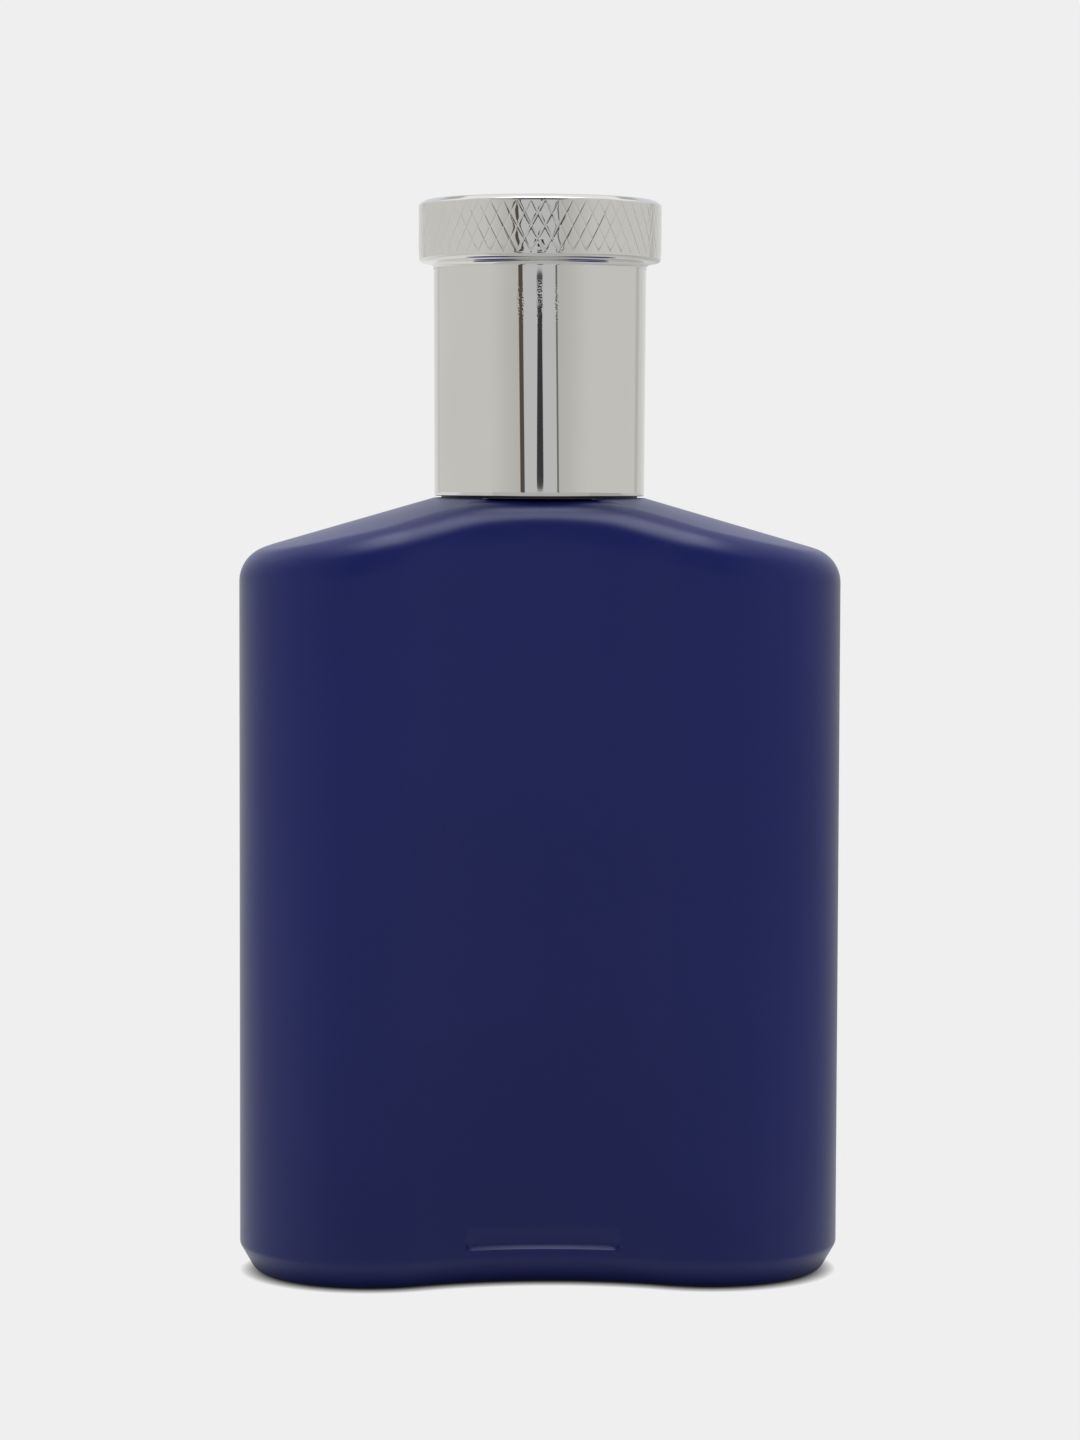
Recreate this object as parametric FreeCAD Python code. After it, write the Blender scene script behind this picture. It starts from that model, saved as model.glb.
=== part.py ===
"""Spray bottle with a bent flask section, a crimped pump and a knurled overcap.

Units are millimetres and +Z is up. The base stands on z = 0, the box of the
bottle body is centred on the origin and the hollow face looks towards -Y.
"""
import FreeCAD
import Part
import math
import os

from FreeCAD import Vector

os.makedirs("parts", exist_ok=True)

# Flask body
body_width = 80.0
body_thickness = 35.0
face_bow = 4.7
seat_height = 103.0
seat_radius = 15.0
shoulder_angle = 16.2
shoulder_blend = 8.0
shoulder_round = 4.6
heel_height = 3.6
heel_inset = 1.9
heel_round = 1.5
glass_wall = 5.2
glass_floor = 9.0
cavity_round = 3.4
push_up_depth = 1.2
push_up_round = 1.0
bearing_width = 4.5

# Registration notch in the hollow face
notch_length = 20.0
notch_height = 2.0
notch_depth = 0.55
notch_start = 4.8
notch_slant = 50.0

# Neck finish for a crimped pump
neck_diameter = 12.8
neck_height = 8.6
neck_bore = 9.6
neck_root_round = 1.0
bead_diameter = 15.0
bead_face = 2.6
bead_taper = 0.6
bead_round = 0.5

# Fits between pieces
press_clearance = 0.02
slide_clearance = 0.05
stop_clearance = 0.03
skin_clearance = 0.06
loose_clearance = 0.3

# Pump
stroke = 4.5
piston_lag = 0.3
chamber_diameter = 5.4
chamber_wall = 1.1
flange_inset = 0.1
flange_thickness = 1.2
gasket_thickness = 1.0
turret_flange = 1.0
turret_spigot = 3.3
turret_tower = 2.8
tower_wall = 1.6
ledge_width = 0.4
stem_gasket_thickness = 0.5
stem_diameter = 3.9
stem_bore = 1.4
stem_flange = 0.9
stem_flange_gap = 0.1
piston_height = 2.8
piston_lip = 0.6
piston_waist = 0.3
pin_diameter = 2.0
pin_flange = 0.9
pin_flange_diameter = 4.4
pin_grip = 3.0
pin_flat = 0.25
spring_length = 8.0
spring_wire = 0.45
spring_turns = 6.0
spring_gap = 0.2
ball_diameter = 2.4
ball_lift = 0.8
ball_cage_diameter = 3.4
cage_lip_thickness = 0.6
cage_lip_diameter = 2.0
inlet_diameter = 1.4
inlet_length = 0.6
tail_wall = 1.0
tube_diameter = 3.0
tube_bore = 1.8
tube_grip = 6.0
tube_end_gap = 1.5
tube_slant = 30.0

# Ferrule and collar
ferrule_sheet = 0.4
ferrule_lip_gap = 0.25
ferrule_round = 0.5
collar_diameter = 20.4
collar_wall = 0.7
collar_round = 0.7
collar_well_gap = 0.5
collar_mouth_gap = 0.35

# Push button
actuator_diameter = 13.2
actuator_dip = 0.4
actuator_sheet = 0.5
actuator_round = 1.0
actuator_dish = 0.5
core_rim = 1.6
socket_depth = 3.4
press_gap = 0.25
nozzle_rise = 1.6
nozzle_diameter = 3.8
nozzle_length = 2.4
nozzle_wall = 0.7
nozzle_orifice = 0.5
nozzle_post = 1.9
nozzle_window_gap = 0.35
nozzle_cover = 2.2

# Overcap
cap_height = 39.35
cap_seat_gap = 0.5
cap_diameter = 28.1
cap_draft = 0.15
cap_wall = 0.9
cap_rim_round = 0.3
ring_step = 2.1
ring_height = 8.15
ring_top_round = 0.85
ring_bottom_round = 0.6
ring_taper = 0.75
ring_lip = 0.7
disc_thickness = 0.8
disc_recess = 0.35
liner_wall = 1.0
liner_plate = 1.0
liner_ribs = 12
liner_rib_width = 0.8
liner_foot = 1.0
liner_seat_gap = 0.2
liner_lead = 0.5

# Diamond knurl
knurl_count = 56
knurl_rows = 4
knurl_depth = 0.25
knurl_margin_gap = 0.04

# How close two places count as one, and how level a normal is on a wall
same_place = 1e-4
wall_tilt = 0.02

# Places that follow from the sizes above
end_radius = body_thickness / 2
end_x = body_width / 2 - end_radius
end_y = -face_bow / 2
neck_y = face_bow / 2
bend_radius = (end_x ** 2 + face_bow ** 2) / (2 * face_bow)
bend_y = end_y - math.sqrt(bend_radius ** 2 - end_x ** 2)
bend_angle = math.asin(end_x / bend_radius)
body_depth = body_thickness + face_bow
shoulder_slope = math.tan(math.radians(shoulder_angle))

land_z = seat_height + neck_height
flange_z = land_z + gasket_thickness
turret_z = flange_z + flange_thickness
ferrule_z = turret_z + turret_flange
ferrule_top_z = ferrule_z + ferrule_sheet
tower_top_z = ferrule_z + turret_tower
spigot_z = turret_z - turret_spigot
ledge_z = spigot_z - stem_gasket_thickness
stem_flange_top_z = ledge_z - stop_clearance
stem_bottom_z = stem_flange_top_z - stem_flange
piston_top_z = stem_bottom_z - piston_lag
piston_bottom_z = piston_top_z - piston_height
pin_flange_top_z = piston_bottom_z - stop_clearance
pin_bottom_z = pin_flange_top_z - pin_flange
spring_top_z = pin_bottom_z - stop_clearance
chamber_floor_z = spring_top_z - spring_length - stop_clearance
cage_top_z = chamber_floor_z - cage_lip_thickness

ball_radius = ball_diameter / 2
lip_contact = math.sqrt(ball_radius ** 2 - (cage_lip_diameter / 2) ** 2)
ball_z = cage_top_z - lip_contact - ball_lift - stop_clearance
seat_apex_z = ball_z - math.sqrt(2) * (ball_radius + stop_clearance)
seat_top_z = seat_apex_z + ball_cage_diameter / 2
seat_bottom_z = seat_apex_z + inlet_diameter / 2
socket_top_z = seat_bottom_z - inlet_length
housing_bottom_z = socket_top_z - tube_grip

actuator_z = ferrule_top_z + stroke + press_gap
collar_top_z = actuator_z + actuator_dip
core_ceiling_z = tower_top_z + stroke + press_gap
stem_top_z = core_ceiling_z + socket_depth
nozzle_z = stem_top_z + nozzle_rise
actuator_top_z = nozzle_z + nozzle_diameter / 2 + nozzle_cover

cap_z = seat_height + cap_seat_gap
cap_top_z = cap_z + cap_height
ring_z = cap_top_z - ring_height
disc_z = cap_top_z - disc_recess - disc_thickness
sleeve_top_z = disc_z - stop_clearance
sleeve_ceiling_z = sleeve_top_z - cap_wall

chamber_radius = chamber_diameter / 2
housing_radius = chamber_radius + chamber_wall
stem_radius = stem_diameter / 2
guide_radius = stem_radius + slide_clearance
spigot_radius = chamber_radius + ledge_width
counterbore_radius = spigot_radius + press_clearance
tower_radius = guide_radius + tower_wall
pin_radius = pin_diameter / 2
tube_radius = tube_diameter / 2
tube_socket_radius = tube_radius + press_clearance
bead_radius = bead_diameter / 2
flange_radius = bead_radius - flange_inset
ferrule_radius = bead_radius + skin_clearance
ferrule_outer = ferrule_radius + ferrule_sheet
actuator_radius = actuator_diameter / 2
core_radius = actuator_radius - actuator_sheet - press_clearance
collar_radius = collar_diameter / 2
collar_inner = collar_radius - collar_wall
cap_radius = cap_diameter / 2
cap_head_radius = cap_radius + cap_draft
ring_radius = cap_head_radius + ring_step
ring_inner = cap_head_radius + press_clearance
disc_radius = ring_inner - ring_lip - press_clearance


def outline(inset, z):
    """Return the bent flask outline, drawn in by inset, as a wire at height z."""
    radius = end_radius - inset
    along = math.sin(bend_angle)
    across = math.cos(bend_angle)

    def at(x, y):
        return Vector(x, y, z)

    front_x = end_x - radius * along
    front_y = end_y - radius * across
    back_x = end_x + radius * along
    back_y = end_y + radius * across
    side_x = end_x + radius * across
    side_y = end_y - radius * along
    front_mid = at(0, bend_y + bend_radius - radius)
    back_mid = at(0, bend_y + bend_radius + radius)
    arcs = [
        Part.Arc(at(-front_x, front_y), front_mid, at(front_x, front_y)),
        Part.Arc(at(front_x, front_y), at(side_x, side_y), at(back_x, back_y)),
        Part.Arc(at(back_x, back_y), back_mid, at(-back_x, back_y)),
        Part.Arc(at(-back_x, back_y), at(-side_x, side_y), at(-front_x, front_y)),
    ]
    return Part.Wire([arc.toShape() for arc in arcs])


def prism(inset, z_low, z_high):
    """Return an upright solid with the flask outline between two heights."""
    face = Part.Face(outline(inset, z_low))
    return face.extrude(Vector(0, 0, z_high - z_low))


def under_roof(drop):
    """Return the space under the conical shoulders, lowered square to them by drop."""
    slant = math.radians(shoulder_angle)
    flat_z = seat_height - drop
    flat_radius = seat_radius - drop * math.tan(slant / 2)
    reach = body_width
    low_z = -body_width
    tangent = shoulder_blend * math.tan(slant / 2)
    blend_run = shoulder_blend * math.sin(slant / 2)
    blend_sag = shoulder_blend * (1 - math.cos(slant / 2))
    inner = flat_radius - tangent
    outer = flat_radius + tangent * math.cos(slant)
    outer_z = flat_z - tangent * math.sin(slant)
    reach_z = flat_z - (reach - flat_radius) * shoulder_slope

    def at(radius, z):
        return Vector(radius, neck_y, z)

    blend = Part.Arc(
        at(outer, outer_z),
        at(inner + blend_run, flat_z - blend_sag),
        at(inner, flat_z),
    )
    edges = [
        Part.makeLine(at(0, low_z), at(reach, low_z)),
        Part.makeLine(at(reach, low_z), at(reach, reach_z)),
        Part.makeLine(at(reach, reach_z), at(outer, outer_z)),
        blend.toShape(),
        Part.makeLine(at(inner, flat_z), at(0, flat_z)),
        Part.makeLine(at(0, flat_z), at(0, low_z)),
    ]
    face = Part.Face(Part.Wire(Part.__sortEdges__(edges)))
    return face.revolve(Vector(0, neck_y, 0), Vector(0, 0, 1), 360)


def is_upright(face):
    """Say whether a face is a wall, with its normal level at its middle."""
    u_low, u_high, v_low, v_high = face.ParameterRange
    normal = face.normalAt((u_low + u_high) / 2, (v_low + v_high) / 2)
    return abs(normal.z) < wall_tilt


def round_top(shape, radius, low_z):
    """Round the loop where the walls above low_z meet the roof."""
    edges = []
    for edge in shape.Edges:
        if edge.BoundBox.ZMin < low_z:
            continue
        faces = shape.ancestorsOfType(edge, Part.Face)
        walls = [face for face in faces if is_upright(face)]
        if len(faces) == 2 and len(walls) == 1:
            edges.append(edge)
    return shape.makeFillet(radius, edges)


def round_level(shape, radius, z):
    """Round every edge that lies level at height z."""
    edges = []
    for edge in shape.Edges:
        box = edge.BoundBox
        if abs(box.ZMin - z) < same_place and abs(box.ZMax - z) < same_place:
            edges.append(edge)
    return shape.makeFillet(radius, edges)


def turned(profile):
    """Return the solid turned round the neck axis from (radius, z) points."""
    points = [Vector(radius, neck_y, z) for radius, z in profile]
    face = Part.Face(Part.makePolygon(points + points[:1]))
    return face.revolve(Vector(0, neck_y, 0), Vector(0, 0, 1), 360)


def round_rims(shape, radius, rims):
    """Round the circular rims of a turned solid named by (radius, z)."""
    edges = []
    for edge in shape.Edges:
        if not isinstance(edge.Curve, Part.Circle):
            continue
        for rim_radius, rim_z in rims:
            same_radius = abs(edge.Curve.Radius - rim_radius) < same_place
            same_height = abs(edge.Curve.Center.z - rim_z) < same_place
            if same_radius and same_height:
                edges.append(edge)
    return shape.makeFillet(radius, edges)


def rod(radius, z_low, z_high):
    """Return a cylinder on the neck axis."""
    return Part.makeCylinder(radius, z_high - z_low, Vector(0, neck_y, z_low))


def forward_rod(radius, reach_near, reach_far):
    """Return a cylinder on the nozzle axis between two distances from the neck axis."""
    start = Vector(0, neck_y - reach_near, nozzle_z)
    return Part.makeCylinder(radius, reach_far - reach_near, start, Vector(0, -1, 0))


def notch_cutter():
    """Return the cutter of the notch, its floor a ledge that rises into the face."""
    half = notch_length / 2
    hollow_radius = bend_radius - end_radius
    face_sag = hollow_radius - math.sqrt(hollow_radius ** 2 - half ** 2)
    cutter_sag = face_sag + notch_depth
    cutter_radius = (half ** 2 + cutter_sag ** 2) / (2 * cutter_sag)
    cutter_y = bend_y + hollow_radius + notch_depth - cutter_radius
    low_z = notch_start - notch_height
    height = 2 * notch_height
    run = notch_height / math.tan(math.radians(notch_slant))
    slot = Part.makeCylinder(cutter_radius, height, Vector(0, cutter_y, low_z))
    ledge = Part.makeCone(
        hollow_radius - run,
        hollow_radius + run,
        height,
        Vector(0, bend_y, low_z),
    )
    return slot.common(ledge)


def make_bottle():
    """Return the hollow glass body with heel, notch, push-up base and neck."""
    heel = Part.makeLoft([outline(heel_inset, 0), outline(0, heel_height)], True, True)
    walls = prism(0, heel_height, seat_height + shoulder_round)
    body = heel.fuse(walls).removeSplitter().common(under_roof(0))
    low_corner = seat_height - body_width * shoulder_slope
    body = round_top(body, shoulder_round, low_corner)
    body = round_level(body, heel_round, 0)

    push_up = prism(heel_inset + heel_round + bearing_width, -push_up_depth, push_up_depth)
    body = body.cut(round_level(push_up, push_up_round, push_up_depth))

    body = body.cut(notch_cutter())

    neck_radius = neck_diameter / 2
    root_z = seat_height - glass_wall / 2
    taper_z = land_z - bead_face - bead_taper
    neck = turned([
        (0, root_z),
        (neck_radius, root_z),
        (neck_radius, taper_z),
        (bead_radius, land_z - bead_face),
        (bead_radius, land_z),
        (0, land_z),
    ])
    neck = round_rims(neck, bead_round, [(bead_radius, land_z)])
    body = body.fuse(neck)
    body = round_rims(body, neck_root_round, [(neck_radius, seat_height)])

    cavity = prism(glass_wall, glass_floor, seat_height).common(under_roof(glass_wall))
    cavity = round_top(cavity, cavity_round, glass_floor + cavity_round)
    cavity = round_level(cavity, cavity_round, glass_floor)
    bore = rod(neck_bore / 2, seat_height - 2 * glass_wall, land_z + gasket_thickness)
    return body.cut(cavity).cut(bore)


def make_neck_gasket():
    """Return the washer between the neck land and the pump flange."""
    outer = rod(bead_radius - bead_round, land_z, flange_z)
    return outer.cut(rod(housing_radius + slide_clearance, land_z, flange_z))


def make_pump_housing():
    """Return the pump chamber with flange, ball cage and tube socket."""
    cage_radius = ball_cage_diameter / 2
    tail_radius = tube_radius + tail_wall
    cage_shoulder_z = seat_bottom_z
    return turned([
        (counterbore_radius, turret_z),
        (counterbore_radius, ledge_z),
        (chamber_radius, ledge_z),
        (chamber_radius, chamber_floor_z),
        (cage_lip_diameter / 2, chamber_floor_z),
        (cage_lip_diameter / 2, cage_top_z),
        (cage_radius, cage_top_z),
        (cage_radius, seat_top_z),
        (inlet_diameter / 2, seat_bottom_z),
        (inlet_diameter / 2, socket_top_z),
        (tube_socket_radius, socket_top_z),
        (tube_socket_radius, housing_bottom_z),
        (tail_radius, housing_bottom_z),
        (tail_radius, cage_shoulder_z),
        (housing_radius, cage_shoulder_z + housing_radius - tail_radius),
        (housing_radius, flange_z),
        (flange_radius, flange_z),
        (flange_radius, turret_z),
    ])


def make_inlet_ball():
    """Return the check ball, seated on its cone."""
    return Part.makeSphere(ball_radius, Vector(0, neck_y, ball_z))


def make_dip_tube():
    """Return the dip tube, its lower end cut at a slant."""
    top_z = socket_top_z - stop_clearance
    low_z = glass_floor + tube_end_gap
    tube = rod(tube_radius, low_z, top_z).cut(rod(tube_bore / 2, low_z, top_z))
    block = Part.makeBox(
        4 * tube_diameter,
        4 * tube_diameter,
        2 * tube_diameter,
        Vector(-2 * tube_diameter, neck_y - tube_radius, low_z - 2 * tube_diameter),
    )
    block.rotate(Vector(0, neck_y - tube_radius, low_z), Vector(1, 0, 0), tube_slant)
    return tube.cut(block)


def make_return_spring():
    """Return the coil spring between the chamber floor and the pin flange."""
    wire_radius = spring_wire / 2
    coil_radius = chamber_radius - spring_gap - wire_radius
    low_z = chamber_floor_z + stop_clearance + wire_radius
    climb = spring_length - spring_wire
    helix = Part.makeHelix(climb / spring_turns, climb, coil_radius)
    lead = Vector(0, coil_radius * 2 * math.pi, climb / spring_turns)
    ring = Part.Wire(Part.makeCircle(wire_radius, Vector(coil_radius, 0, 0), lead))
    coil = Part.Wire(helix).makePipeShell([ring], True, True)
    coil.translate(Vector(0, neck_y, low_z))
    return coil


def make_valve_pin():
    """Return the pin that seals under the piston and plugs into the stem."""
    flange_radius = pin_flange_diameter / 2
    top_z = stem_bottom_z + pin_grip - stop_clearance
    pin = turned([
        (0, pin_bottom_z),
        (flange_radius, pin_bottom_z),
        (flange_radius, pin_flange_top_z),
        (pin_radius, pin_flange_top_z),
        (pin_radius, top_z),
        (0, top_z),
    ])
    flat_y = pin_radius - pin_flat
    height = top_z - piston_top_z
    for side in (1, -1):
        corner_y = neck_y + flat_y if side > 0 else neck_y - flat_y - pin_diameter
        corner = Vector(-pin_diameter, corner_y, piston_top_z)
        pin = pin.cut(Part.makeBox(2 * pin_diameter, pin_diameter, height, corner))
    return pin


def make_pump_piston():
    """Return the double-lipped piston that slides on the pin."""
    lip_radius = chamber_radius - slide_clearance
    waist_radius = lip_radius - piston_waist
    bore_radius = pin_radius + slide_clearance
    return turned([
        (bore_radius, piston_bottom_z),
        (lip_radius, piston_bottom_z),
        (lip_radius, piston_bottom_z + piston_lip / 2),
        (waist_radius, piston_bottom_z + piston_lip),
        (waist_radius, piston_top_z - piston_lip),
        (lip_radius, piston_top_z - piston_lip / 2),
        (lip_radius, piston_top_z),
        (bore_radius, piston_top_z),
    ])


def make_pump_stem():
    """Return the hollow stem with its stop flange."""
    flange_radius = chamber_radius - stem_flange_gap
    grip_radius = pin_radius + press_clearance
    grip_top_z = stem_bottom_z + pin_grip
    top_z = stem_top_z - stop_clearance
    return turned([
        (grip_radius, stem_bottom_z),
        (flange_radius, stem_bottom_z),
        (flange_radius, stem_flange_top_z),
        (stem_radius, stem_flange_top_z),
        (stem_radius, top_z),
        (stem_bore / 2, top_z),
        (stem_bore / 2, grip_top_z),
        (grip_radius, grip_top_z),
    ])


def make_stem_gasket():
    """Return the ring clamped between the spigot and the housing ledge."""
    outer = rod(spigot_radius, ledge_z, spigot_z)
    return outer.cut(rod(guide_radius, ledge_z, spigot_z))


def make_pump_turret():
    """Return the pump lid with its spigot and stem guide."""
    return turned([
        (guide_radius, spigot_z),
        (spigot_radius, spigot_z),
        (spigot_radius, turret_z),
        (flange_radius, turret_z),
        (flange_radius, ferrule_z),
        (tower_radius, ferrule_z),
        (tower_radius, tower_top_z),
        (guide_radius, tower_top_z),
    ])


def make_crimp_ferrule():
    """Return the rolled ferrule clinched under the neck bead."""
    slope = bead_taper / (bead_radius - neck_diameter / 2)
    level = math.hypot(1, slope)
    hole_radius = tower_radius + loose_clearance
    clinch_z = land_z - bead_face - skin_clearance * level
    lip_radius = neck_diameter / 2 + ferrule_lip_gap
    lip_z = clinch_z - (ferrule_radius - lip_radius) * slope
    foot_radius = lip_radius + ferrule_sheet * slope / level
    foot_z = lip_z - ferrule_sheet / level
    bend_z = foot_z + (ferrule_outer - foot_radius) * slope
    ferrule = turned([
        (hole_radius, ferrule_z),
        (ferrule_radius, ferrule_z),
        (ferrule_radius, clinch_z),
        (lip_radius, lip_z),
        (foot_radius, foot_z),
        (ferrule_outer, bend_z),
        (ferrule_outer, ferrule_top_z),
        (hole_radius, ferrule_top_z),
    ])
    return round_rims(ferrule, ferrule_round, [(ferrule_outer, ferrule_top_z)])


def make_collar_insert():
    """Return the plastic sleeve between the ferrule and the collar."""
    grip_radius = ferrule_outer + skin_clearance
    outer_radius = collar_inner - skin_clearance
    well_radius = actuator_radius + collar_well_gap
    shelf_z = ferrule_top_z + stop_clearance
    low_z = seat_height + cap_seat_gap
    top_z = collar_top_z - collar_wall - stop_clearance
    return turned([
        (grip_radius, low_z),
        (outer_radius, low_z),
        (outer_radius, top_z),
        (well_radius, top_z),
        (well_radius, shelf_z),
        (grip_radius, shelf_z),
    ])


def make_collar_shell():
    """Return the drawn metal collar with its mouth round the button."""
    mouth_radius = actuator_radius + collar_mouth_gap
    low_z = seat_height + cap_seat_gap / 2
    collar = turned([
        (collar_inner, low_z),
        (collar_radius, low_z),
        (collar_radius, collar_top_z),
        (mouth_radius, collar_top_z),
        (mouth_radius, collar_top_z - collar_wall),
        (collar_inner, collar_top_z - collar_wall),
    ])
    return round_rims(collar, collar_round, [(collar_radius, collar_top_z)])


def make_actuator_core():
    """Return the moulded button with stem socket, channel and nozzle post."""
    top_z = actuator_top_z - actuator_sheet - actuator_dish - press_clearance
    socket_radius = stem_radius + slide_clearance
    recess_radius = core_radius - core_rim
    core = turned([
        (socket_radius, core_ceiling_z),
        (recess_radius, core_ceiling_z),
        (recess_radius, actuator_z),
        (core_radius, actuator_z),
        (core_radius, top_z),
        (0, top_z),
        (0, stem_top_z),
        (socket_radius, stem_top_z),
    ])
    pocket_radius = nozzle_diameter / 2 + press_clearance
    post_radius = nozzle_post / 2
    floor_reach = core_radius - nozzle_length - stop_clearance
    tip_reach = core_radius - nozzle_wall - stop_clearance
    pocket = forward_rod(pocket_radius, floor_reach, actuator_diameter)
    post = forward_rod(post_radius, floor_reach, tip_reach)
    riser = rod(stem_bore / 2, stem_top_z, nozzle_z)
    gallery = forward_rod(stem_bore / 2, -stem_bore / 2, floor_reach)
    slot = Part.makeBox(
        stem_bore,
        nozzle_length,
        pocket_radius,
        Vector(-stem_bore / 2, neck_y - floor_reach - stem_bore, nozzle_z - pocket_radius),
    )
    return core.cut(pocket).fuse(post).cut(riser).cut(gallery).cut(slot)


def make_actuator_sleeve():
    """Return the drawn metal skin of the button with its nozzle window."""
    inner_radius = actuator_radius - actuator_sheet
    ceiling_z = actuator_top_z - actuator_sheet - actuator_dish
    sleeve = turned([
        (inner_radius, actuator_z),
        (actuator_radius, actuator_z),
        (actuator_radius, actuator_top_z),
        (0, actuator_top_z),
        (0, ceiling_z),
        (inner_radius, ceiling_z),
    ])
    sleeve = round_rims(sleeve, actuator_round, [(actuator_radius, actuator_top_z)])
    rim_radius = actuator_radius - actuator_round
    dish_radius = (rim_radius ** 2 + actuator_dish ** 2) / (2 * actuator_dish)
    centre = Vector(0, neck_y, actuator_top_z - actuator_dish + dish_radius)
    sleeve = sleeve.cut(Part.makeSphere(dish_radius, centre))
    window_radius = nozzle_diameter / 2 + nozzle_window_gap
    return sleeve.cut(forward_rod(window_radius, 0, actuator_diameter))


def make_nozzle_insert():
    """Return the swirl cup with its spray orifice."""
    cup_radius = nozzle_diameter / 2
    near = core_radius - nozzle_length
    cup = forward_rod(cup_radius, near, core_radius)
    hollow = forward_rod(nozzle_post / 2 + press_clearance, near, core_radius - nozzle_wall)
    orifice = forward_rod(nozzle_orifice / 2, near, core_radius)
    mouth = Part.makeCone(
        nozzle_orifice / 2,
        nozzle_orifice,
        nozzle_wall / 2,
        Vector(0, neck_y - core_radius + nozzle_wall / 2, nozzle_z),
        Vector(0, -1, 0),
    )
    return cup.cut(hollow).cut(orifice).cut(mouth)


def make_cap_sleeve():
    """Return the drawn overcap tube, closed at the top."""
    inner_radius = cap_radius - cap_wall
    sleeve = turned([
        (inner_radius, cap_z),
        (cap_radius, cap_z),
        (cap_head_radius, ring_z),
        (cap_head_radius, sleeve_top_z),
        (0, sleeve_top_z),
        (0, sleeve_ceiling_z),
        (inner_radius, sleeve_ceiling_z),
    ])
    rims = [(cap_radius, cap_z), (inner_radius, cap_z)]
    return round_rims(sleeve, cap_rim_round, rims)


def knurl_vertex(step, row, band_z, pitch_z, raised):
    """Return a knurl grid point, on a diamond tip or down in the grooves."""
    radius = ring_radius - knurl_margin_gap
    if not raised:
        radius -= knurl_depth
    angle = math.pi * step / knurl_count
    return Vector(
        radius * math.cos(angle),
        neck_y + radius * math.sin(angle),
        band_z + row * pitch_z,
    )


def make_cap_knurled_ring():
    """Return the head ring: turned rims sewn to a band of diamond facets."""
    band_z = ring_z + ring_bottom_round
    band_top_z = cap_top_z - ring_top_round
    pitch_z = (band_top_z - band_z) / knurl_rows
    steps = 2 * knurl_count

    def tip(step, row):
        return (step + row) % 2 == 0

    def grid(step, row):
        return knurl_vertex(step % steps, row, band_z, pitch_z, tip(step, row))

    faces = []
    for row in range(knurl_rows):
        for step in range(steps):
            corners = [
                (step, row),
                (step + 1, row),
                (step + 1, row + 1),
                (step, row + 1),
            ]
            if tip(step, row):
                corners = corners[1:] + corners[:1]
            first, second, third, fourth = [grid(*corner) for corner in corners]
            for triangle in ((first, second, third), (first, third, fourth)):
                loop = Part.makePolygon(list(triangle) + [triangle[0]])
                faces.append(Part.Face(loop))

    for row, z in ((0, band_z), (knurl_rows, band_top_z)):
        rim = Part.Wire(Part.makeCircle(ring_radius, Vector(0, neck_y, z)))
        points = [grid(step, row) for step in range(steps)]
        zigzag = Part.makePolygon(points + points[:1])
        faces.append(Part.makeFace([rim, zigzag], "Part::FaceMakerBullseye"))

    lip_radius = ring_inner - ring_lip
    low_flat = ring_radius - ring_bottom_round
    top_flat = ring_radius - ring_top_round
    bevel = math.sqrt(0.5)

    def at(radius, z):
        return Vector(radius, neck_y, z)

    low_arc = Part.Arc(
        at(ring_radius, band_z),
        at(low_flat + ring_bottom_round * bevel, band_z - ring_bottom_round * bevel),
        at(low_flat, ring_z),
    )
    top_arc = Part.Arc(
        at(top_flat, cap_top_z),
        at(top_flat + ring_top_round * bevel, band_top_z + ring_top_round * bevel),
        at(ring_radius, band_top_z),
    )
    path = [
        at(low_flat, ring_z),
        at(ring_inner, ring_z - ring_taper),
        at(ring_inner, sleeve_top_z + stop_clearance),
        at(lip_radius, sleeve_top_z + stop_clearance),
        at(lip_radius, cap_top_z),
        at(top_flat, cap_top_z),
    ]
    edges = [low_arc.toShape(), top_arc.toShape()]
    for start, end in zip(path, path[1:]):
        edges.append(Part.makeLine(start, end))
    for edge in edges:
        band = edge.revolve(Vector(0, neck_y, 0), Vector(0, 0, 1), 360)
        faces.extend(band.Faces)

    shell = Part.Compound(faces)
    shell.sewShape(same_place)
    ring = Part.Solid(shell.Shells[0])
    if ring.Volume < 0:
        ring.reverse()
    return ring


def make_cap_top_disc():
    """Return the plain inlay that closes the head."""
    return rod(disc_radius, disc_z, disc_z + disc_thickness)


def make_cap_liner():
    """Return the ribbed liner that grips the collar."""
    grip_radius = collar_radius + slide_clearance
    outer_radius = cap_radius - cap_wall - press_clearance
    tube_outer = grip_radius + liner_wall
    low_z = seat_height + liner_seat_gap
    top_z = sleeve_ceiling_z - stop_clearance
    plate_z = top_z - liner_plate
    liner = turned([
        (grip_radius + liner_lead, low_z),
        (outer_radius, low_z),
        (outer_radius, low_z + liner_foot),
        (tube_outer, low_z + liner_foot),
        (tube_outer, plate_z),
        (outer_radius, plate_z),
        (outer_radius, top_z),
        (0, top_z),
        (0, plate_z),
        (grip_radius, plate_z),
        (grip_radius, low_z + liner_lead),
    ])
    overlap = liner_wall / 2
    ribs = []
    for index in range(liner_ribs):
        rib = Part.makeBox(
            outer_radius - tube_outer + overlap,
            liner_rib_width,
            plate_z - low_z,
            Vector(tube_outer - overlap, neck_y - liner_rib_width / 2, low_z + liner_foot / 2),
        )
        rib.rotate(Vector(0, neck_y, 0), Vector(0, 0, 1), 360 * index / liner_ribs)
        ribs.append(rib)
    envelope = rod(outer_radius, low_z, top_z)
    ribbing = Part.Compound(ribs).common(envelope)
    return liner.fuse(ribbing.Solids).removeSplitter()


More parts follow.
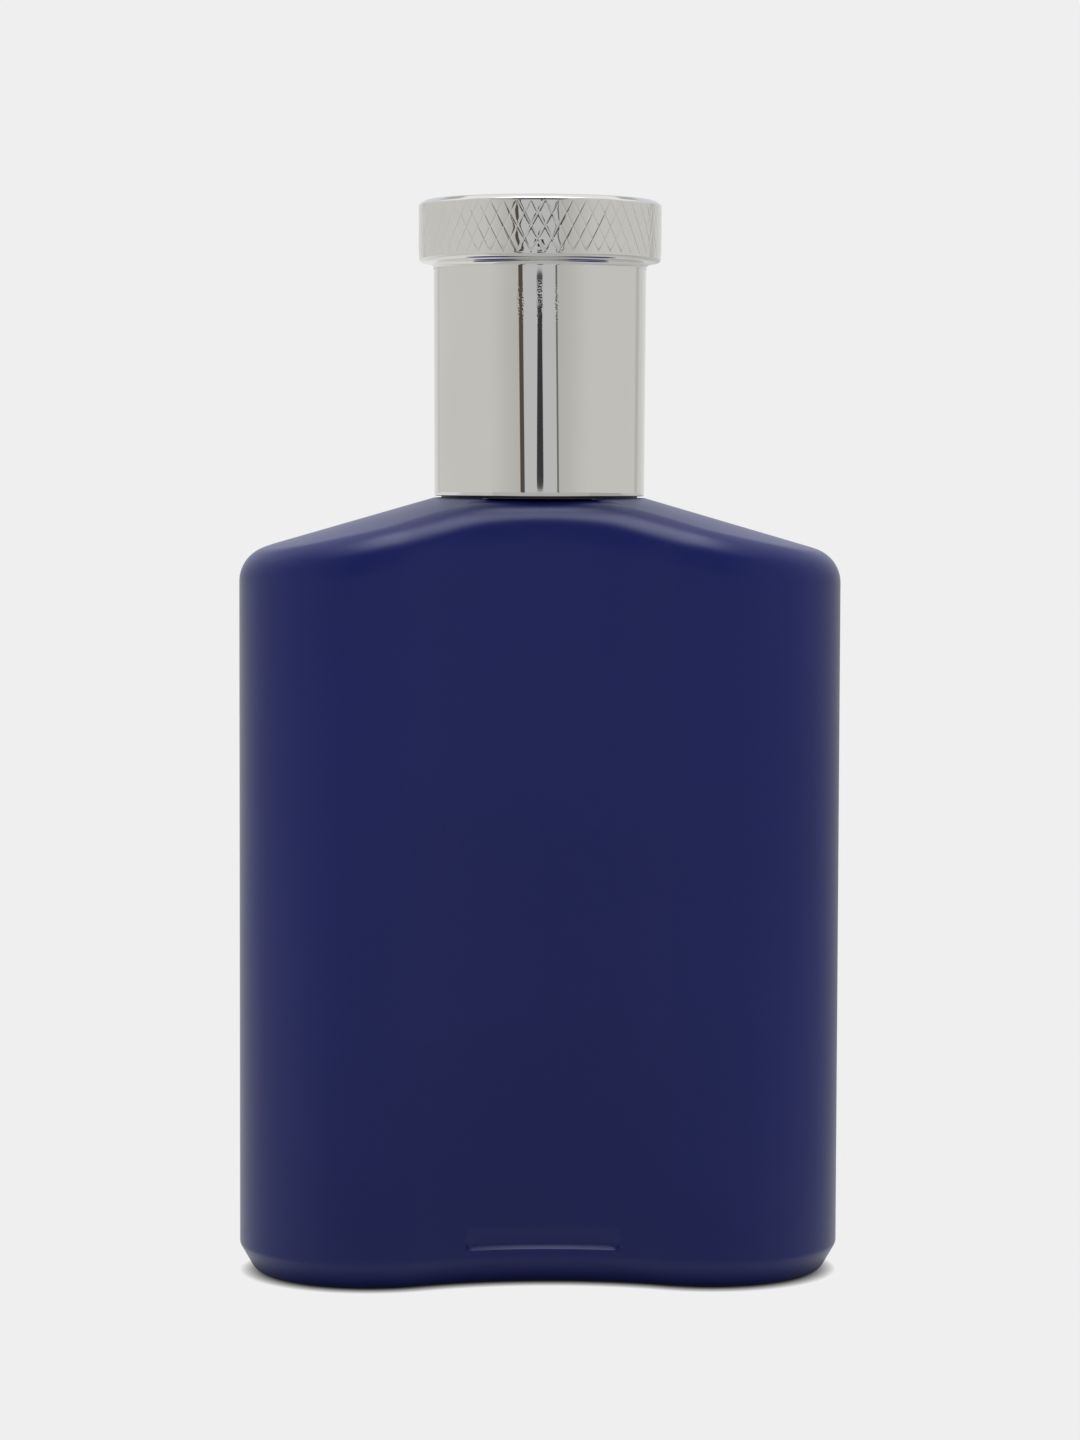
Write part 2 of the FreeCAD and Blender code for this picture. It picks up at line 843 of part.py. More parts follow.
makers = {
    "bottle": make_bottle,
    "neck_gasket": make_neck_gasket,
    "pump_housing": make_pump_housing,
    "inlet_ball": make_inlet_ball,
    "dip_tube": make_dip_tube,
    "return_spring": make_return_spring,
    "valve_pin": make_valve_pin,
    "pump_piston": make_pump_piston,
    "pump_stem": make_pump_stem,
    "stem_gasket": make_stem_gasket,
    "pump_turret": make_pump_turret,
    "crimp_ferrule": make_crimp_ferrule,
    "collar_insert": make_collar_insert,
    "collar_shell": make_collar_shell,
    "actuator_core": make_actuator_core,
    "actuator_sleeve": make_actuator_sleeve,
    "nozzle_insert": make_nozzle_insert,
    "cap_sleeve": make_cap_sleeve,
    "cap_knurled_ring": make_cap_knurled_ring,
    "cap_top_disc": make_cap_top_disc,
    "cap_liner": make_cap_liner,
}

for name, maker in makers.items():
    solid = maker()
    solid.exportStep(f"parts/{name}.step")
    valid = "valid" if solid.isValid() else "NOT VALID"
    print(name, valid, len(solid.Solids), "solid", round(solid.Volume, 2), "mm3")
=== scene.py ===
"""Looks of a spray bottle: lacquered flask, plated overcap and crimped pump in a plain studio.

Sizes are in millimetres in the classes and turn into metres when a mesh is made. The base stands on
z = 0, the hollow face looks towards -Y and every turned piece shares the neck axis.
"""

import logging
import math
from dataclasses import dataclass, field
from enum import Enum
from typing import Sequence

import bpy
from mathutils import Matrix, Vector


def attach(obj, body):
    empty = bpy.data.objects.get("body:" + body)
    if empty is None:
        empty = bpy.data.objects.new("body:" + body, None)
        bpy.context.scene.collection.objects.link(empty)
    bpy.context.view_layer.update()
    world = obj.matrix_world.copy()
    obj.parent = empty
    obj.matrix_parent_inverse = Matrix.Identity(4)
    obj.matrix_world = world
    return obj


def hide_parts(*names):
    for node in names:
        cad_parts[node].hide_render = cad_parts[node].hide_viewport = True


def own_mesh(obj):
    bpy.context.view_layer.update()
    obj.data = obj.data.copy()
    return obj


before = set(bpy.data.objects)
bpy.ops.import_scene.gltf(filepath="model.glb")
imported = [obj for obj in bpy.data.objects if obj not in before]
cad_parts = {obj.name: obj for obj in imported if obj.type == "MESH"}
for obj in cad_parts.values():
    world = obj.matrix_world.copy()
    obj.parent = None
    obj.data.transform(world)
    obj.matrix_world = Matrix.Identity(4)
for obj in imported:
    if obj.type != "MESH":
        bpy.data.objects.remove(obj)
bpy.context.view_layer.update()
log = logging.getLogger("spray_bottle")

MM = 0.001
NECK_Y = 2.35
Point = tuple[float, float, float]
Colour = tuple[float, float, float]
Step = tuple[float, float]
Socket = bpy.types.NodeSocket


def grey(level: float) -> Colour:
    """Return a neutral colour."""
    return (level, level, level)


def metres(step: Step) -> Step:
    """Return a pair of millimetre lengths in metres."""
    return step[0] * MM, step[1] * MM


def ease(share: float) -> float:
    """Return a soft step from 0 to 1."""
    share = min(max(share, 0.0), 1.0)
    return share * share * (3 - 2 * share)


class Body(Enum):
    """The moving bodies that pieces ride on."""

    FLASK = "flask"
    OVERCAP = "overcap"


class Slot(Enum):
    """The material slots of the part."""

    LACQUERED_GLASS = "lacquered_glass"
    CHROME_PLATE = "chrome_plate"
    DRAWN_ALUMINIUM = "drawn_aluminium"
    SPRING_STEEL = "spring_steel"
    PUMP_PLASTIC = "pump_plastic"
    PISTON_PLASTIC = "piston_plastic"
    TUBE_PLASTIC = "tube_plastic"
    LINER_PLASTIC = "liner_plastic"
    BUTTON_PLASTIC = "button_plastic"
    NOZZLE_PLASTIC = "nozzle_plastic"
    SEAL_RUBBER = "seal_rubber"


class Polish(Enum):
    """How far a metal is polished, as its roughness."""

    MIRROR = 0.02
    BRIGHT = 0.16
    DRAWN = 0.3


class NodeBench:
    """Adds nodes to one node tree and links them."""

    def __init__(self, tree: bpy.types.NodeTree) -> None:
        """Clear the tree and keep it.

        Args:
            tree: The node tree to fill.
        """
        self.tree = tree
        tree.nodes.clear()

    def add(self, kind: str, **settings: object) -> bpy.types.Node:
        """Add a node.

        Args:
            kind: The node's Blender type name.
            settings: Properties to set on it.

        Returns:
            The new node.
        """
        node = self.tree.nodes.new(kind)
        for name, value in settings.items():
            setattr(node, name, value)
        return node

    def feed(self, socket: Socket, value: object) -> None:
        """Link a socket to an input, or set the input's value.

        Args:
            socket: The input.
            value: A socket to link, or a plain value.
        """
        if isinstance(value, bpy.types.NodeSocket):
            self.tree.links.new(value, socket)
        else:
            socket.default_value = value

    def math(self, operation: str, first: object, second: object = 0.0) -> Socket:
        """Add one sum.

        Args:
            operation: Blender's name of the operation.
            first: A socket or number.
            second: A socket or number.

        Returns:
            The result's socket.
        """
        node = self.add("ShaderNodeMath", operation=operation)
        self.feed(node.inputs[0], first)
        self.feed(node.inputs[1], second)
        return node.outputs[0]

    def product(self, parts: Sequence[Socket]) -> Socket:
        """Multiply values together.

        Args:
            parts: The values' sockets.

        Returns:
            The product's socket.
        """
        result = parts[0]
        for part in parts[1:]:
            result = self.math("MULTIPLY", result, part)
        return result

    def off(self, value: Socket, centre: float) -> Socket:
        """Return how far a value lies from a centre, on either side."""
        return self.math("ABSOLUTE", self.math("SUBTRACT", value, centre))

    def fade(self, value: Socket, low: float, high: float) -> Socket:
        """Return a soft step from 0 at low to 1 at high, which may run backwards.

        Args:
            value: The value to test.
            low: Where the step starts.
            high: Where it ends.

        Returns:
            The step's socket.
        """
        node = self.add("ShaderNodeMapRange", interpolation_type="SMOOTHSTEP")
        self.feed(node.inputs["Value"], value)
        flip = low > high
        node.inputs["From Min"].default_value = min(low, high)
        node.inputs["From Max"].default_value = max(low, high)
        node.inputs["To Min"].default_value = 1.0 if flip else 0.0
        node.inputs["To Max"].default_value = 0.0 if flip else 1.0
        return node.outputs["Result"]

    def spread(self, value: Socket, low: float, high: float) -> Socket:
        """Return a 0 to 1 value stretched between two numbers.

        Args:
            value: The value to stretch.
            low: The result at 0.
            high: The result at 1.

        Returns:
            The stretched value's socket.
        """
        node = self.add("ShaderNodeMapRange")
        self.feed(node.inputs["Value"], value)
        node.inputs["To Min"].default_value = low
        node.inputs["To Max"].default_value = high
        return node.outputs["Result"]

    def blend(self, share: object, first: object, second: object) -> Socket:
        """Mix two colours.

        Args:
            share: The second colour's share.
            first: A colour or socket.
            second: A colour or socket.

        Returns:
            The mixed colour's socket.
        """
        node = self.add("ShaderNodeMix", data_type="RGBA")
        self.feed(node.inputs[0], share)
        for place, value in ((6, first), (7, second)):
            if isinstance(value, tuple):
                value = (*value, 1.0)
            self.feed(node.inputs[place], value)
        return node.outputs[2]

    def paint(self, under: Socket, zone: Sequence[Socket], tone: object) -> Socket:
        """Lay a tone over a colour where all parts of a zone are full."""
        return self.blend(self.product(zone), under, tone)

    def noise(self, scale: float, detail: float, stretch: Point = (1.0, 1.0, 1.0)) -> Socket:
        """Return cloudy noise over the piece.

        Args:
            scale: Clouds per metre.
            detail: Octaves.
            stretch: Scale along each axis.

        Returns:
            The noise value's socket.
        """
        place = self.add("ShaderNodeTexCoord").outputs["Object"]
        mapping = self.add("ShaderNodeMapping")
        mapping.inputs["Scale"].default_value = stretch
        self.feed(mapping.inputs["Vector"], place)
        node = self.add("ShaderNodeTexNoise")
        self.feed(node.inputs["Vector"], mapping.outputs["Vector"])
        node.inputs["Scale"].default_value = scale
        node.inputs["Detail"].default_value = detail
        return node.outputs[0]

    def specks(self, scale: float, size: float, share: float) -> Socket:
        """Return rare small dots, 1 inside a dot.

        Args:
            scale: Cells per metre.
            size: A dot's radius as a share of its cell.
            share: Share of cells that hold a dot.

        Returns:
            The dots' socket.
        """
        place = self.add("ShaderNodeTexCoord").outputs["Object"]
        cells = self.add("ShaderNodeTexVoronoi")
        self.feed(cells.inputs["Vector"], place)
        cells.inputs["Scale"].default_value = scale
        dot = self.fade(cells.outputs["Distance"], size, size * 0.5)
        chosen = self.math("LESS_THAN", cells.outputs["Color"], share)
        return self.math("MULTIPLY", dot, chosen)

    def bump(self, height: Socket, depth: float, under: Socket | None = None) -> Socket:
        """Turn a height into a bumped normal.

        Args:
            height: The height, from 0 to 1.
            depth: The height's depth in millimetres.
            under: A normal to bump further.

        Returns:
            The normal's socket.
        """
        node = self.add("ShaderNodeBump")
        node.inputs["Distance"].default_value = depth * MM
        self.feed(node.inputs["Height"], height)
        if under is not None:
            self.feed(node.inputs["Normal"], under)
        return node.outputs["Normal"]


@dataclass(frozen=True)
class Finish:
    """A surface finish that makes its own material.

    Attributes:
        name: The material's name.
        slot: The part's material slot.
        colour: The main colour, linear.
    """

    name: str
    slot: Slot
    colour: Colour

    def start(self) -> tuple[bpy.types.Material, NodeBench, bpy.types.Node]:
        """Make an empty material with a surface shader.

        Returns:
            The material, its bench and its shader node.
        """
        material = bpy.data.materials.new(self.name)
        material.use_nodes = True
        bench = NodeBench(material.node_tree)
        shader = bench.add("ShaderNodeBsdfPrincipled")
        output = bench.add("ShaderNodeOutputMaterial")
        bench.feed(output.inputs["Surface"], shader.outputs["BSDF"])
        return material, bench, shader

    def shade(self, share: float) -> Colour:
        """Return the main colour made darker or lighter by a factor."""
        return tuple(min(1.0, channel * share) for channel in self.colour)


@dataclass(frozen=True)
class SatinLacquer(Finish):
    """Sprayed satin lacquer with faint clouding, fine peel and a few dust specks.

    Scales are per metre and depths in millimetres.

    Attributes:
        roughness: The satin's roughness.
        rough_drift: How far the roughness drifts down and up.
        gloss: Strength of the reflection.
        sheen: Tint of the reflection.
        cloud: How far the tone drifts.
        dust: Colour of a speck.
        dust_size: A speck's radius as a share of its cell.
        dust_share: Share of cells that hold a speck.
        peel: Depth of the peel.
    """

    roughness: float = 0.3
    rough_drift: Step = (-0.015, 0.025)
    rough_scale: float = 140.0
    gloss: float = 0.3
    sheen: Colour = (0.76, 0.81, 1.0)
    cloud: float = 0.12
    cloud_scale: float = 26.0
    dust: Colour = (0.12, 0.13, 0.2)
    dust_scale: float = 110.0
    dust_size: float = 0.022
    dust_share: float = 0.05
    peel: float = 0.004
    peel_scale: float = 900.0

    def make(self) -> bpy.types.Material:
        """Make the material.

        Returns:
            The material.
        """
        material, bench, shader = self.start()
        clouds = bench.noise(self.cloud_scale, 3.0)
        paint = bench.blend(clouds, self.shade(1 - self.cloud), self.shade(1 + self.cloud))
        dust = bench.specks(self.dust_scale, self.dust_size, self.dust_share)
        bench.feed(shader.inputs["Base Color"], bench.blend(dust, paint, self.dust))
        fine = bench.noise(self.rough_scale, 2.0)
        low, high = self.rough_drift
        rough = bench.spread(fine, self.roughness + low, self.roughness + high)
        bench.feed(shader.inputs["Roughness"], rough)
        shader.inputs["Specular IOR Level"].default_value = self.gloss
        shader.inputs["Specular Tint"].default_value = (*self.sheen, 1.0)
        peel = bench.noise(self.peel_scale, 2.0)
        bench.feed(shader.inputs["Normal"], bench.bump(peel, self.peel))
        return material


@dataclass(frozen=True)
class PlatedMetal(Finish):
    """Polished plate with faint waves, rare pits and a grainy zone under the head ring.

    Scales are per metre, heights and depths in millimetres.

    Attributes:
        polish: How far it is polished.
        smear: How far the roughness drifts, as shares of the polish.
        tone: How far the tone drifts.
        pit_tone: A pit's tone as a share of the plate's.
        pit_size: A pit's radius as a share of its cell.
        pit_share: Share of cells that hold a pit.
        wave: Depth of the polishing waves.
        grain: Depth of the plating grain.
        grain_low: Height where the grain starts.
        grain_high: Height where the grain is full, above which it fades.
        grain_fade: How far above that it is gone.
    """

    polish: Polish = Polish.MIRROR
    smear: Step = (0.8, 1.3)
    smear_scale: float = 90.0
    smear_stretch: Point = (1.0, 1.0, 0.2)
    tone: float = 0.03
    tone_scale: float = 60.0
    pit_tone: float = 0.45
    pit_scale: float = 160.0
    pit_size: float = 0.03
    pit_share: float = 0.03
    wave: float = 0.0006
    wave_scale: float = 160.0
    grain: float = 0.0
    grain_scale: float = 3900.0
    grain_low: float = 124.5
    grain_high: float = 129.2
    grain_fade: float = 3.0

    def make(self) -> bpy.types.Material:
        """Make the material.

        Returns:
            The material.
        """
        material, bench, shader = self.start()
        tone = bench.noise(self.tone_scale, 3.0)
        plate = bench.blend(tone, self.shade(1 - self.tone), self.shade(1 + self.tone))
        pits = bench.specks(self.pit_scale, self.pit_size, self.pit_share)
        bench.feed(shader.inputs["Base Color"], bench.blend(pits, plate, self.shade(self.pit_tone)))
        shader.inputs["Metallic"].default_value = 1.0
        smear = bench.noise(self.smear_scale, 2.0, self.smear_stretch)
        base = self.polish.value
        low, high = self.smear
        bench.feed(shader.inputs["Roughness"], bench.spread(smear, base * low, base * high))
        normal = bench.bump(bench.noise(self.wave_scale, 1.0), self.wave)
        if self.grain > 0:
            normal = self.grainy(bench, normal)
        bench.feed(shader.inputs["Normal"], normal)
        return material

    def grainy(self, bench: NodeBench, normal: Socket) -> Socket:
        """Add the plating grain in its zone.

        Args:
            bench: The material's bench.
            normal: The normal without grain.

        Returns:
            The bumped normal's socket.
        """
        split = bench.add("ShaderNodeSeparateXYZ")
        bench.feed(split.inputs[0], bench.add("ShaderNodeTexCoord").outputs["Object"])
        height = split.outputs["Z"]
        rising = bench.fade(height, *metres((self.grain_low, self.grain_high)))
        fading = bench.fade(height, *metres((self.grain_high + self.grain_fade, self.grain_high)))
        crystals = bench.noise(self.grain_scale, 1.0)
        return bench.bump(bench.product((crystals, rising, fading)), self.grain, normal)


@dataclass(frozen=True)
class MouldedPlastic(Finish):
    """Moulded plastic with a fine spark-eroded grain and a slight tone drift.

    Scales are per metre and depths in millimetres.

    Attributes:
        roughness: The plastic's roughness.
        rough_drift: How far the roughness drifts either way.
        tone: How far the tone drifts, as shares of the colour.
        grain: Depth of the grain.
        glow: How much light scatters inside.
        glow_reach: How far it scatters.
    """

    roughness: float = 0.45
    rough_drift: float = 0.06
    rough_scale: float = 700.0
    tone: Step = (0.93, 1.06)
    tone_scale: float = 120.0
    grain: float = 0.006
    grain_scale: float = 2600.0
    glow: float = 0.0
    glow_reach: float = 0.4

    def make(self) -> bpy.types.Material:
        """Make the material.

        Returns:
            The material.
        """
        material, bench, shader = self.start()
        dark, light = (self.shade(share) for share in self.tone)
        tone = bench.noise(self.tone_scale, 3.0)
        bench.feed(shader.inputs["Base Color"], bench.blend(tone, dark, light))
        fine = bench.noise(self.rough_scale, 2.0)
        drift = self.rough_drift
        rough = bench.spread(fine, self.roughness - drift, self.roughness + drift)
        bench.feed(shader.inputs["Roughness"], rough)
        shader.inputs["Subsurface Weight"].default_value = self.glow
        shader.inputs["Subsurface Scale"].default_value = self.glow_reach * MM
        grain = bench.noise(self.grain_scale, 2.0)
        bench.feed(shader.inputs["Normal"], bench.bump(grain, self.grain))
        return material


@dataclass(frozen=True)
class Corner:
    """One corner of a turned profile.

    Attributes:
        radius: Distance from the neck axis.
        height: Height above the base.
        rounding: Radius that rounds the corner off.
    """

    radius: float
    height: float
    rounding: float = 0.0


class Draft:
    """Points and faces of one piece, gathered in millimetres."""

    def __init__(self) -> None:
        """Start with nothing."""
        self.points: list[Point] = []
        self.faces: list[tuple[int, ...]] = []

    def loop(self, points: Sequence[Point]) -> list[int]:
        """Add a row of points.

        Args:
            points: The points, in order.

        Returns:
            Their numbers.
        """
        start = len(self.points)
        self.points.extend(points)
        return list(range(start, len(self.points)))

    def band(self, low: Sequence[int], high: Sequence[int]) -> None:
        """Join two closed loops of one length with quads.

        Args:
            low: The first loop.
            high: The next loop.
        """
        count = len(low)
        for here in range(count):
            after = (here + 1) % count
            self.faces.append((low[here], low[after], high[after], high[here]))

    def skin(self, rows: Sequence[Sequence[Point]], closed: bool = False) -> list[list[int]]:
        """Join rows of points into one skin.

        Args:
            rows: Closed loops of one length, in order.
            closed: Whether the last row joins the first.

        Returns:
            The numbers of each row's points.
        """
        loops = [self.loop(row) for row in rows]
        for low, high in zip(loops, loops[1:]):
            self.band(low, high)
        if closed:
            self.band(loops[-1], loops[0])
        return loops

    def close_ends(self, loops: Sequence[Sequence[int]]) -> None:
        """Close a skin's first and last loop with a face each.

        Args:
            loops: The skin's loops.
        """
        self.faces.append(tuple(reversed(loops[0])))
        self.faces.append(tuple(loops[-1]))

    def make(self, name: str, sharp: float = 35.0) -> bpy.types.Object:
        """Make the Blender object, smooth except at sharp edges.

        Args:
            name: The object's name.
            sharp: Edges sharper than this angle in degrees stay crisp.

        Returns:
            The object, linked to the scene.
        """
        mesh = bpy.data.meshes.new(name)
        mesh.from_pydata([Vector(point) * MM for point in self.points], [], self.faces)
        mesh.polygons.foreach_set("use_smooth", [True] * len(mesh.polygons))
        mesh.set_sharp_from_angle(angle=math.radians(sharp))
        mesh.update()
        piece = bpy.data.objects.new(name, mesh)
        bpy.context.scene.collection.objects.link(piece)
        return piece


def soften(corners: Sequence[Corner], closed: bool, steps: int = 6) -> list[tuple[float, float]]:
    """Turn corners into profile points, with arcs where a corner is rounded.

    Args:
        corners: The profile's corners, in order.
        closed: Whether the profile closes on itself.
        steps: Segments in each arc.

    Returns:
        The (radius, height) points.
    """
    points: list[tuple[float, float]] = []
    count = len(corners)
    for index, corner in enumerate(corners):
        at = Vector((corner.radius, corner.height))
        at_end = not closed and index in (0, count - 1)
        if corner.rounding <= 0 or at_end:
            points.append((at.x, at.y))
            continue
        before = corners[index - 1]
        after = corners[(index + 1) % count]
        back = (Vector((before.radius, before.height)) - at).normalized()
        ahead = (Vector((after.radius, after.height)) - at).normalized()
        half = back.angle(ahead) / 2
        reach = corner.rounding / math.tan(half)
        centre = at + (back + ahead).normalized() * (corner.rounding / math.sin(half))
        start = at + back * reach - centre
        end = at + ahead * reach - centre
        sweep = start.angle_signed(end)
        for step in range(steps + 1):
            turned = start.copy()
            turned.rotate(Matrix.Rotation(-sweep * step / steps, 2))
            points.append(tuple(centre + turned))
    return points


def circle(radius: float, height: float, angles: Sequence[float]) -> list[Point]:
    """Return points round the neck axis.

    Args:
        radius: Distance from the axis.
        height: Height of the points.
        angles: Their angles.

    Returns:
        The points.
    """
    return [
        (radius * math.cos(angle), NECK_Y + radius * math.sin(angle), height)
        for angle in angles
    ]


def even_angles(count: int) -> list[float]:
    """Return angles spaced evenly round a turn."""
    return [2 * math.pi * index / count for index in range(count)]


def settle(piece: bpy.types.Object, body: Body, node: str, finish: Finish) -> None:
    """Let a piece stand for a CAD node, ride on its body and take a finish.

    Args:
        piece: The piece.
        body: The body that it rides on.
        node: The CAD node that it replaces.
        finish: Its finish.
    """
    piece.data.materials.clear()
    piece.data.materials.append(material_of(finish))
    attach(piece, body.value)
    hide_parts(node)
    log.info("%s stands for %s in %s", piece.name, node, finish.name)


made_materials: dict[str, bpy.types.Material] = {}


def material_of(finish: Finish) -> bpy.types.Material:
    """Return a finish's material, made once.

    Args:
        finish: The finish.

    Returns:
        Its material.
    """
    if finish.name not in made_materials:
        made_materials[finish.name] = finish.make()
    return made_materials[finish.name]


NAVY_LACQUER = SatinLacquer("navy_lacquer", Slot.LACQUERED_GLASS, (0.0031, 0.0059, 0.0575))
SLEEVE_PLATE = PlatedMetal("sleeve_plate", Slot.CHROME_PLATE, (0.79, 0.782, 0.755), grain=0.004)
RING_PLATE = PlatedMetal("ring_plate", Slot.CHROME_PLATE, (0.79, 0.782, 0.755), wave=0.0004)
COLLAR_PLATE = PlatedMetal("collar_plate", Slot.CHROME_PLATE, (0.79, 0.785, 0.765), wave=0.001)
FERRULE_SHEET = PlatedMetal(
    "ferrule_sheet", Slot.DRAWN_ALUMINIUM, (0.75, 0.75, 0.745), Polish.DRAWN, wave=0.003
)
SPRING_WIRE = PlatedMetal("spring_wire", Slot.SPRING_STEEL, (0.56, 0.56, 0.55), Polish.BRIGHT)
NATURAL_PUMP = MouldedPlastic("natural_pump", Slot.PUMP_PLASTIC, (0.78, 0.78, 0.76), glow=0.25)
PISTON_TINT = MouldedPlastic("piston_tint", Slot.PISTON_PLASTIC, (0.6, 0.68, 0.76), glow=0.2)
MILKY_TUBE = MouldedPlastic(
    "milky_tube", Slot.TUBE_PLASTIC, (0.8, 0.82, 0.83), roughness=0.25, grain=0.001, glow=0.4
)
# Near-black plastic for the cap liner and collar insert; the black is partly painted shade,
# standing in for the shadow in the gap under the overcap's foot.
BLACK_LINER_AND_GAP_SHADE = MouldedPlastic("black_liner_and_gap_shade", Slot.LINER_PLASTIC, (0.014, 0.014, 0.016))
BUTTON_MOULDING = MouldedPlastic("button_moulding", Slot.BUTTON_PLASTIC, (0.7, 0.7, 0.69))
BLACK_NOZZLE = MouldedPlastic(
    "black_nozzle", Slot.NOZZLE_PLASTIC, (0.012, 0.012, 0.013), roughness=0.3, grain=0.003
)
SEAL_BLACK = MouldedPlastic(
    "seal_black", Slot.SEAL_RUBBER, (0.018, 0.018, 0.018), roughness=0.6, grain=0.01
)


@dataclass(frozen=True)
class Station:
    """A place on the flask's outline with the direction into the glass."""

    x: float
    y: float
    inward_x: float
    inward_y: float

    def inset(self, depth: float) -> tuple[float, float]:
        """Return the place moved into the glass."""
        return self.x + depth * self.inward_x, self.y + depth * self.inward_y


@dataclass
class FlaskBody:
    """The bent glass flask with its heel, notch, rolled shoulders and neck."""

    width: float = 80.0
    thickness: float = 35.0
    bow: float = 4.7
    seat: float = 103.0
    seat_radius: float = 15.0
    slope: float = math.radians(16.2)
    roof_blend: float = 22.0
    rolls: tuple[tuple[float, float], ...] = (
        (0.0, 5.5), (9.0, 6.1), (18.0, 5.5), (26.0, 5.9), (36.0, 4.7), (41.0, 4.6)
    )
    ridge_radius: float = 14.08
    ridge_stops: tuple[float, ...] = (
        15.6, 15.2, 14.8, 14.4, 14.15, 14.08, 13.9, 13.7, 13.5, 13.35
    )
    ridge_sides: Step = (0.38, 0.62)
    ridge_run: float = 1.1
    heel_height: float = 3.75
    heel_inset: float = 2.15
    heel_round: float = 2.0
    heel_edge: float = 1.2
    bearing: float = 3.75
    bearing_edge: float = 0.15
    push_up: float = 1.2
    push_up_round: float = 1.0
    push_up_run: float = 3.0
    notch_half: float = 10.0
    notch_depth: float = 0.6
    notch_low: float = 4.86
    notch_high: float = 8.2
    notch_end: float = 2.0
    notch_slant: float = math.radians(43.0)
    notch_margins: tuple[float, ...] = (-0.1, 0.04, 0.15)
    ledge_shares: tuple[float, ...] = (0.2, 0.35, 0.5, 0.65, 0.8, 0.95)
    wall_shares: tuple[float, ...] = (0.05, 0.2, 0.4, 0.6, 0.8, 0.95)
    glass: float = 5.2
    floor: float = 9.0
    floor_run: float = 6.0
    cavity_round: float = 3.4
    cavity_rise: float = 20.0
    neck_radius: float = 6.4
    neck_root: float = 1.0
    neck_height: float = 8.6
    bead_radius: float = 7.5
    bead_face: float = 2.6
    bead_taper: float = 0.6
    bead_rounds: tuple[float, ...] = (0.3, 0.2, 0.5, 0.2)
    bore_radius: float = 4.8
    front_steps: int = 72
    end_steps: int = 56
    back_steps: int = 48
    notch_steps: int = 12
    roll_steps: int = 16
    seat_steps: int = 16
    root_steps: int = 6
    cavity_steps: int = 6
    cavity_roof_steps: int = 24
    neck_steps: int = 4
    least_step: float = 0.02
    stations: list[Station] = field(default_factory=list)

    def __post_init__(self) -> None:
        """Work out the bend and walk round the outline."""
        self.end_radius = self.thickness / 2
        self.end_x = self.width / 2 - self.end_radius
        self.end_y = -self.bow / 2
        self.bend = (self.end_x ** 2 + self.bow ** 2) / (2 * self.bow)
        self.bend_y = self.end_y - math.sqrt(self.bend ** 2 - self.end_x ** 2)
        self.bend_angle = math.asin(self.end_x / self.bend)
        self.shelf = self.notch_low + self.notch_depth * math.tan(self.notch_slant)
        self.stations = self.walk()

    def bent(self, radius: float, angle: float, sign: float) -> Station:
        """Return a station on one of the bent faces.

        Args:
            radius: The face's radius round the bend's axis.
            angle: The angle from the middle.
            sign: 1 on the hollow face, -1 on the bulged back.

        Returns:
            The station.
        """
        across, along = math.sin(angle), math.cos(angle)
        y = self.bend_y + radius * along
        return Station(radius * across, y, sign * across, sign * along)

    def end(self, side: float, angle: float) -> Station:
        """Return a station on one of the round ends.

        Args:
            side: 1 on the right, -1 on the left.
            angle: The angle round the end's axis.

        Returns:
            The station.
        """
        across, along = math.cos(angle), math.sin(angle)
        x = side * self.end_x + self.end_radius * across
        return Station(x, self.end_y + self.end_radius * along, -across, -along)

    def walk(self) -> list[Station]:
        """Walk round the outline, from the middle of the hollow face to the right.

        Returns:
            The stations, in order.
        """
        face = self.bend - self.end_radius
        back = self.bend + self.end_radius
        swing = self.bend_angle
        half = self.front_steps // 2
        found: list[Station] = []
        for step in range(half):
            found.append(self.bent(face, swing * step / half, 1.0))
        for step in range(self.end_steps):
            found.append(self.end(1.0, -math.pi / 2 - swing + math.pi * step / self.end_steps))
        for step in range(self.back_steps):
            found.append(self.bent(back, swing - 2 * swing * step / self.back_steps, -1.0))
        for step in range(self.end_steps):
            found.append(self.end(-1.0, math.pi / 2 + swing + math.pi * step / self.end_steps))
        for step in range(half):
            found.append(self.bent(face, -swing + swing * step / half, 1.0))
        return found

    def roof(self, x: float, y: float, drop: float) -> tuple[float, Vector]:
        """Return the coned roof's height and upward normal, lowered square to itself.

        Args:
            x: Place across.
            y: Place from front to back.
            drop: How far the roof is lowered.

        Returns:
            The height and the normal.
        """
        out = Vector((x, y - NECK_Y, 0.0))
        turn = max(self.roof_blend - drop, 0.0)
        flat = self.seat_radius - max(self.roof_blend, drop) * math.tan(self.slope / 2)
        past = max(out.length - flat, 0.0)
        reach = turn * math.sin(self.slope)
        if past < reach:
            tilt = math.asin(past / turn)
            fall = turn * (1 - math.cos(tilt))
        else:
            tilt = self.slope if past > 0 else 0.0
            fall = turn * (1 - math.cos(tilt)) + (past - reach) * math.tan(tilt)
        normal = out.normalized() * math.sin(tilt) + Vector((0.0, 0.0, math.cos(tilt)))
        return self.seat - drop - fall, normal

    def notch(self, station: Station, height: float) -> float:
        """Return how deep the notch is at a station and height.

        Args:
            station: The place on the outline.
            height: The height.

        Returns:
            The depth into the glass.
        """
        on_face = abs(station.x) < self.notch_half and station.y < 0
        if not on_face or not self.notch_low < height < self.notch_high:
            return 0.0
        share = min((self.notch_half - abs(station.x)) / self.notch_end, 1.0)
        deep = self.notch_depth * math.sqrt(share * (2 - share))
        ledge = (height - self.notch_low) / math.tan(self.notch_slant)
        deep *= 1 - ease((height - self.shelf) / (self.notch_high - self.shelf))
        return max(0.0, min(deep, ledge))

    def level(self, inset: float, height: float) -> list[Point]:
        """Return the outline drawn in by inset at one height."""
        return [(*station.inset(inset), height) for station in self.stations]

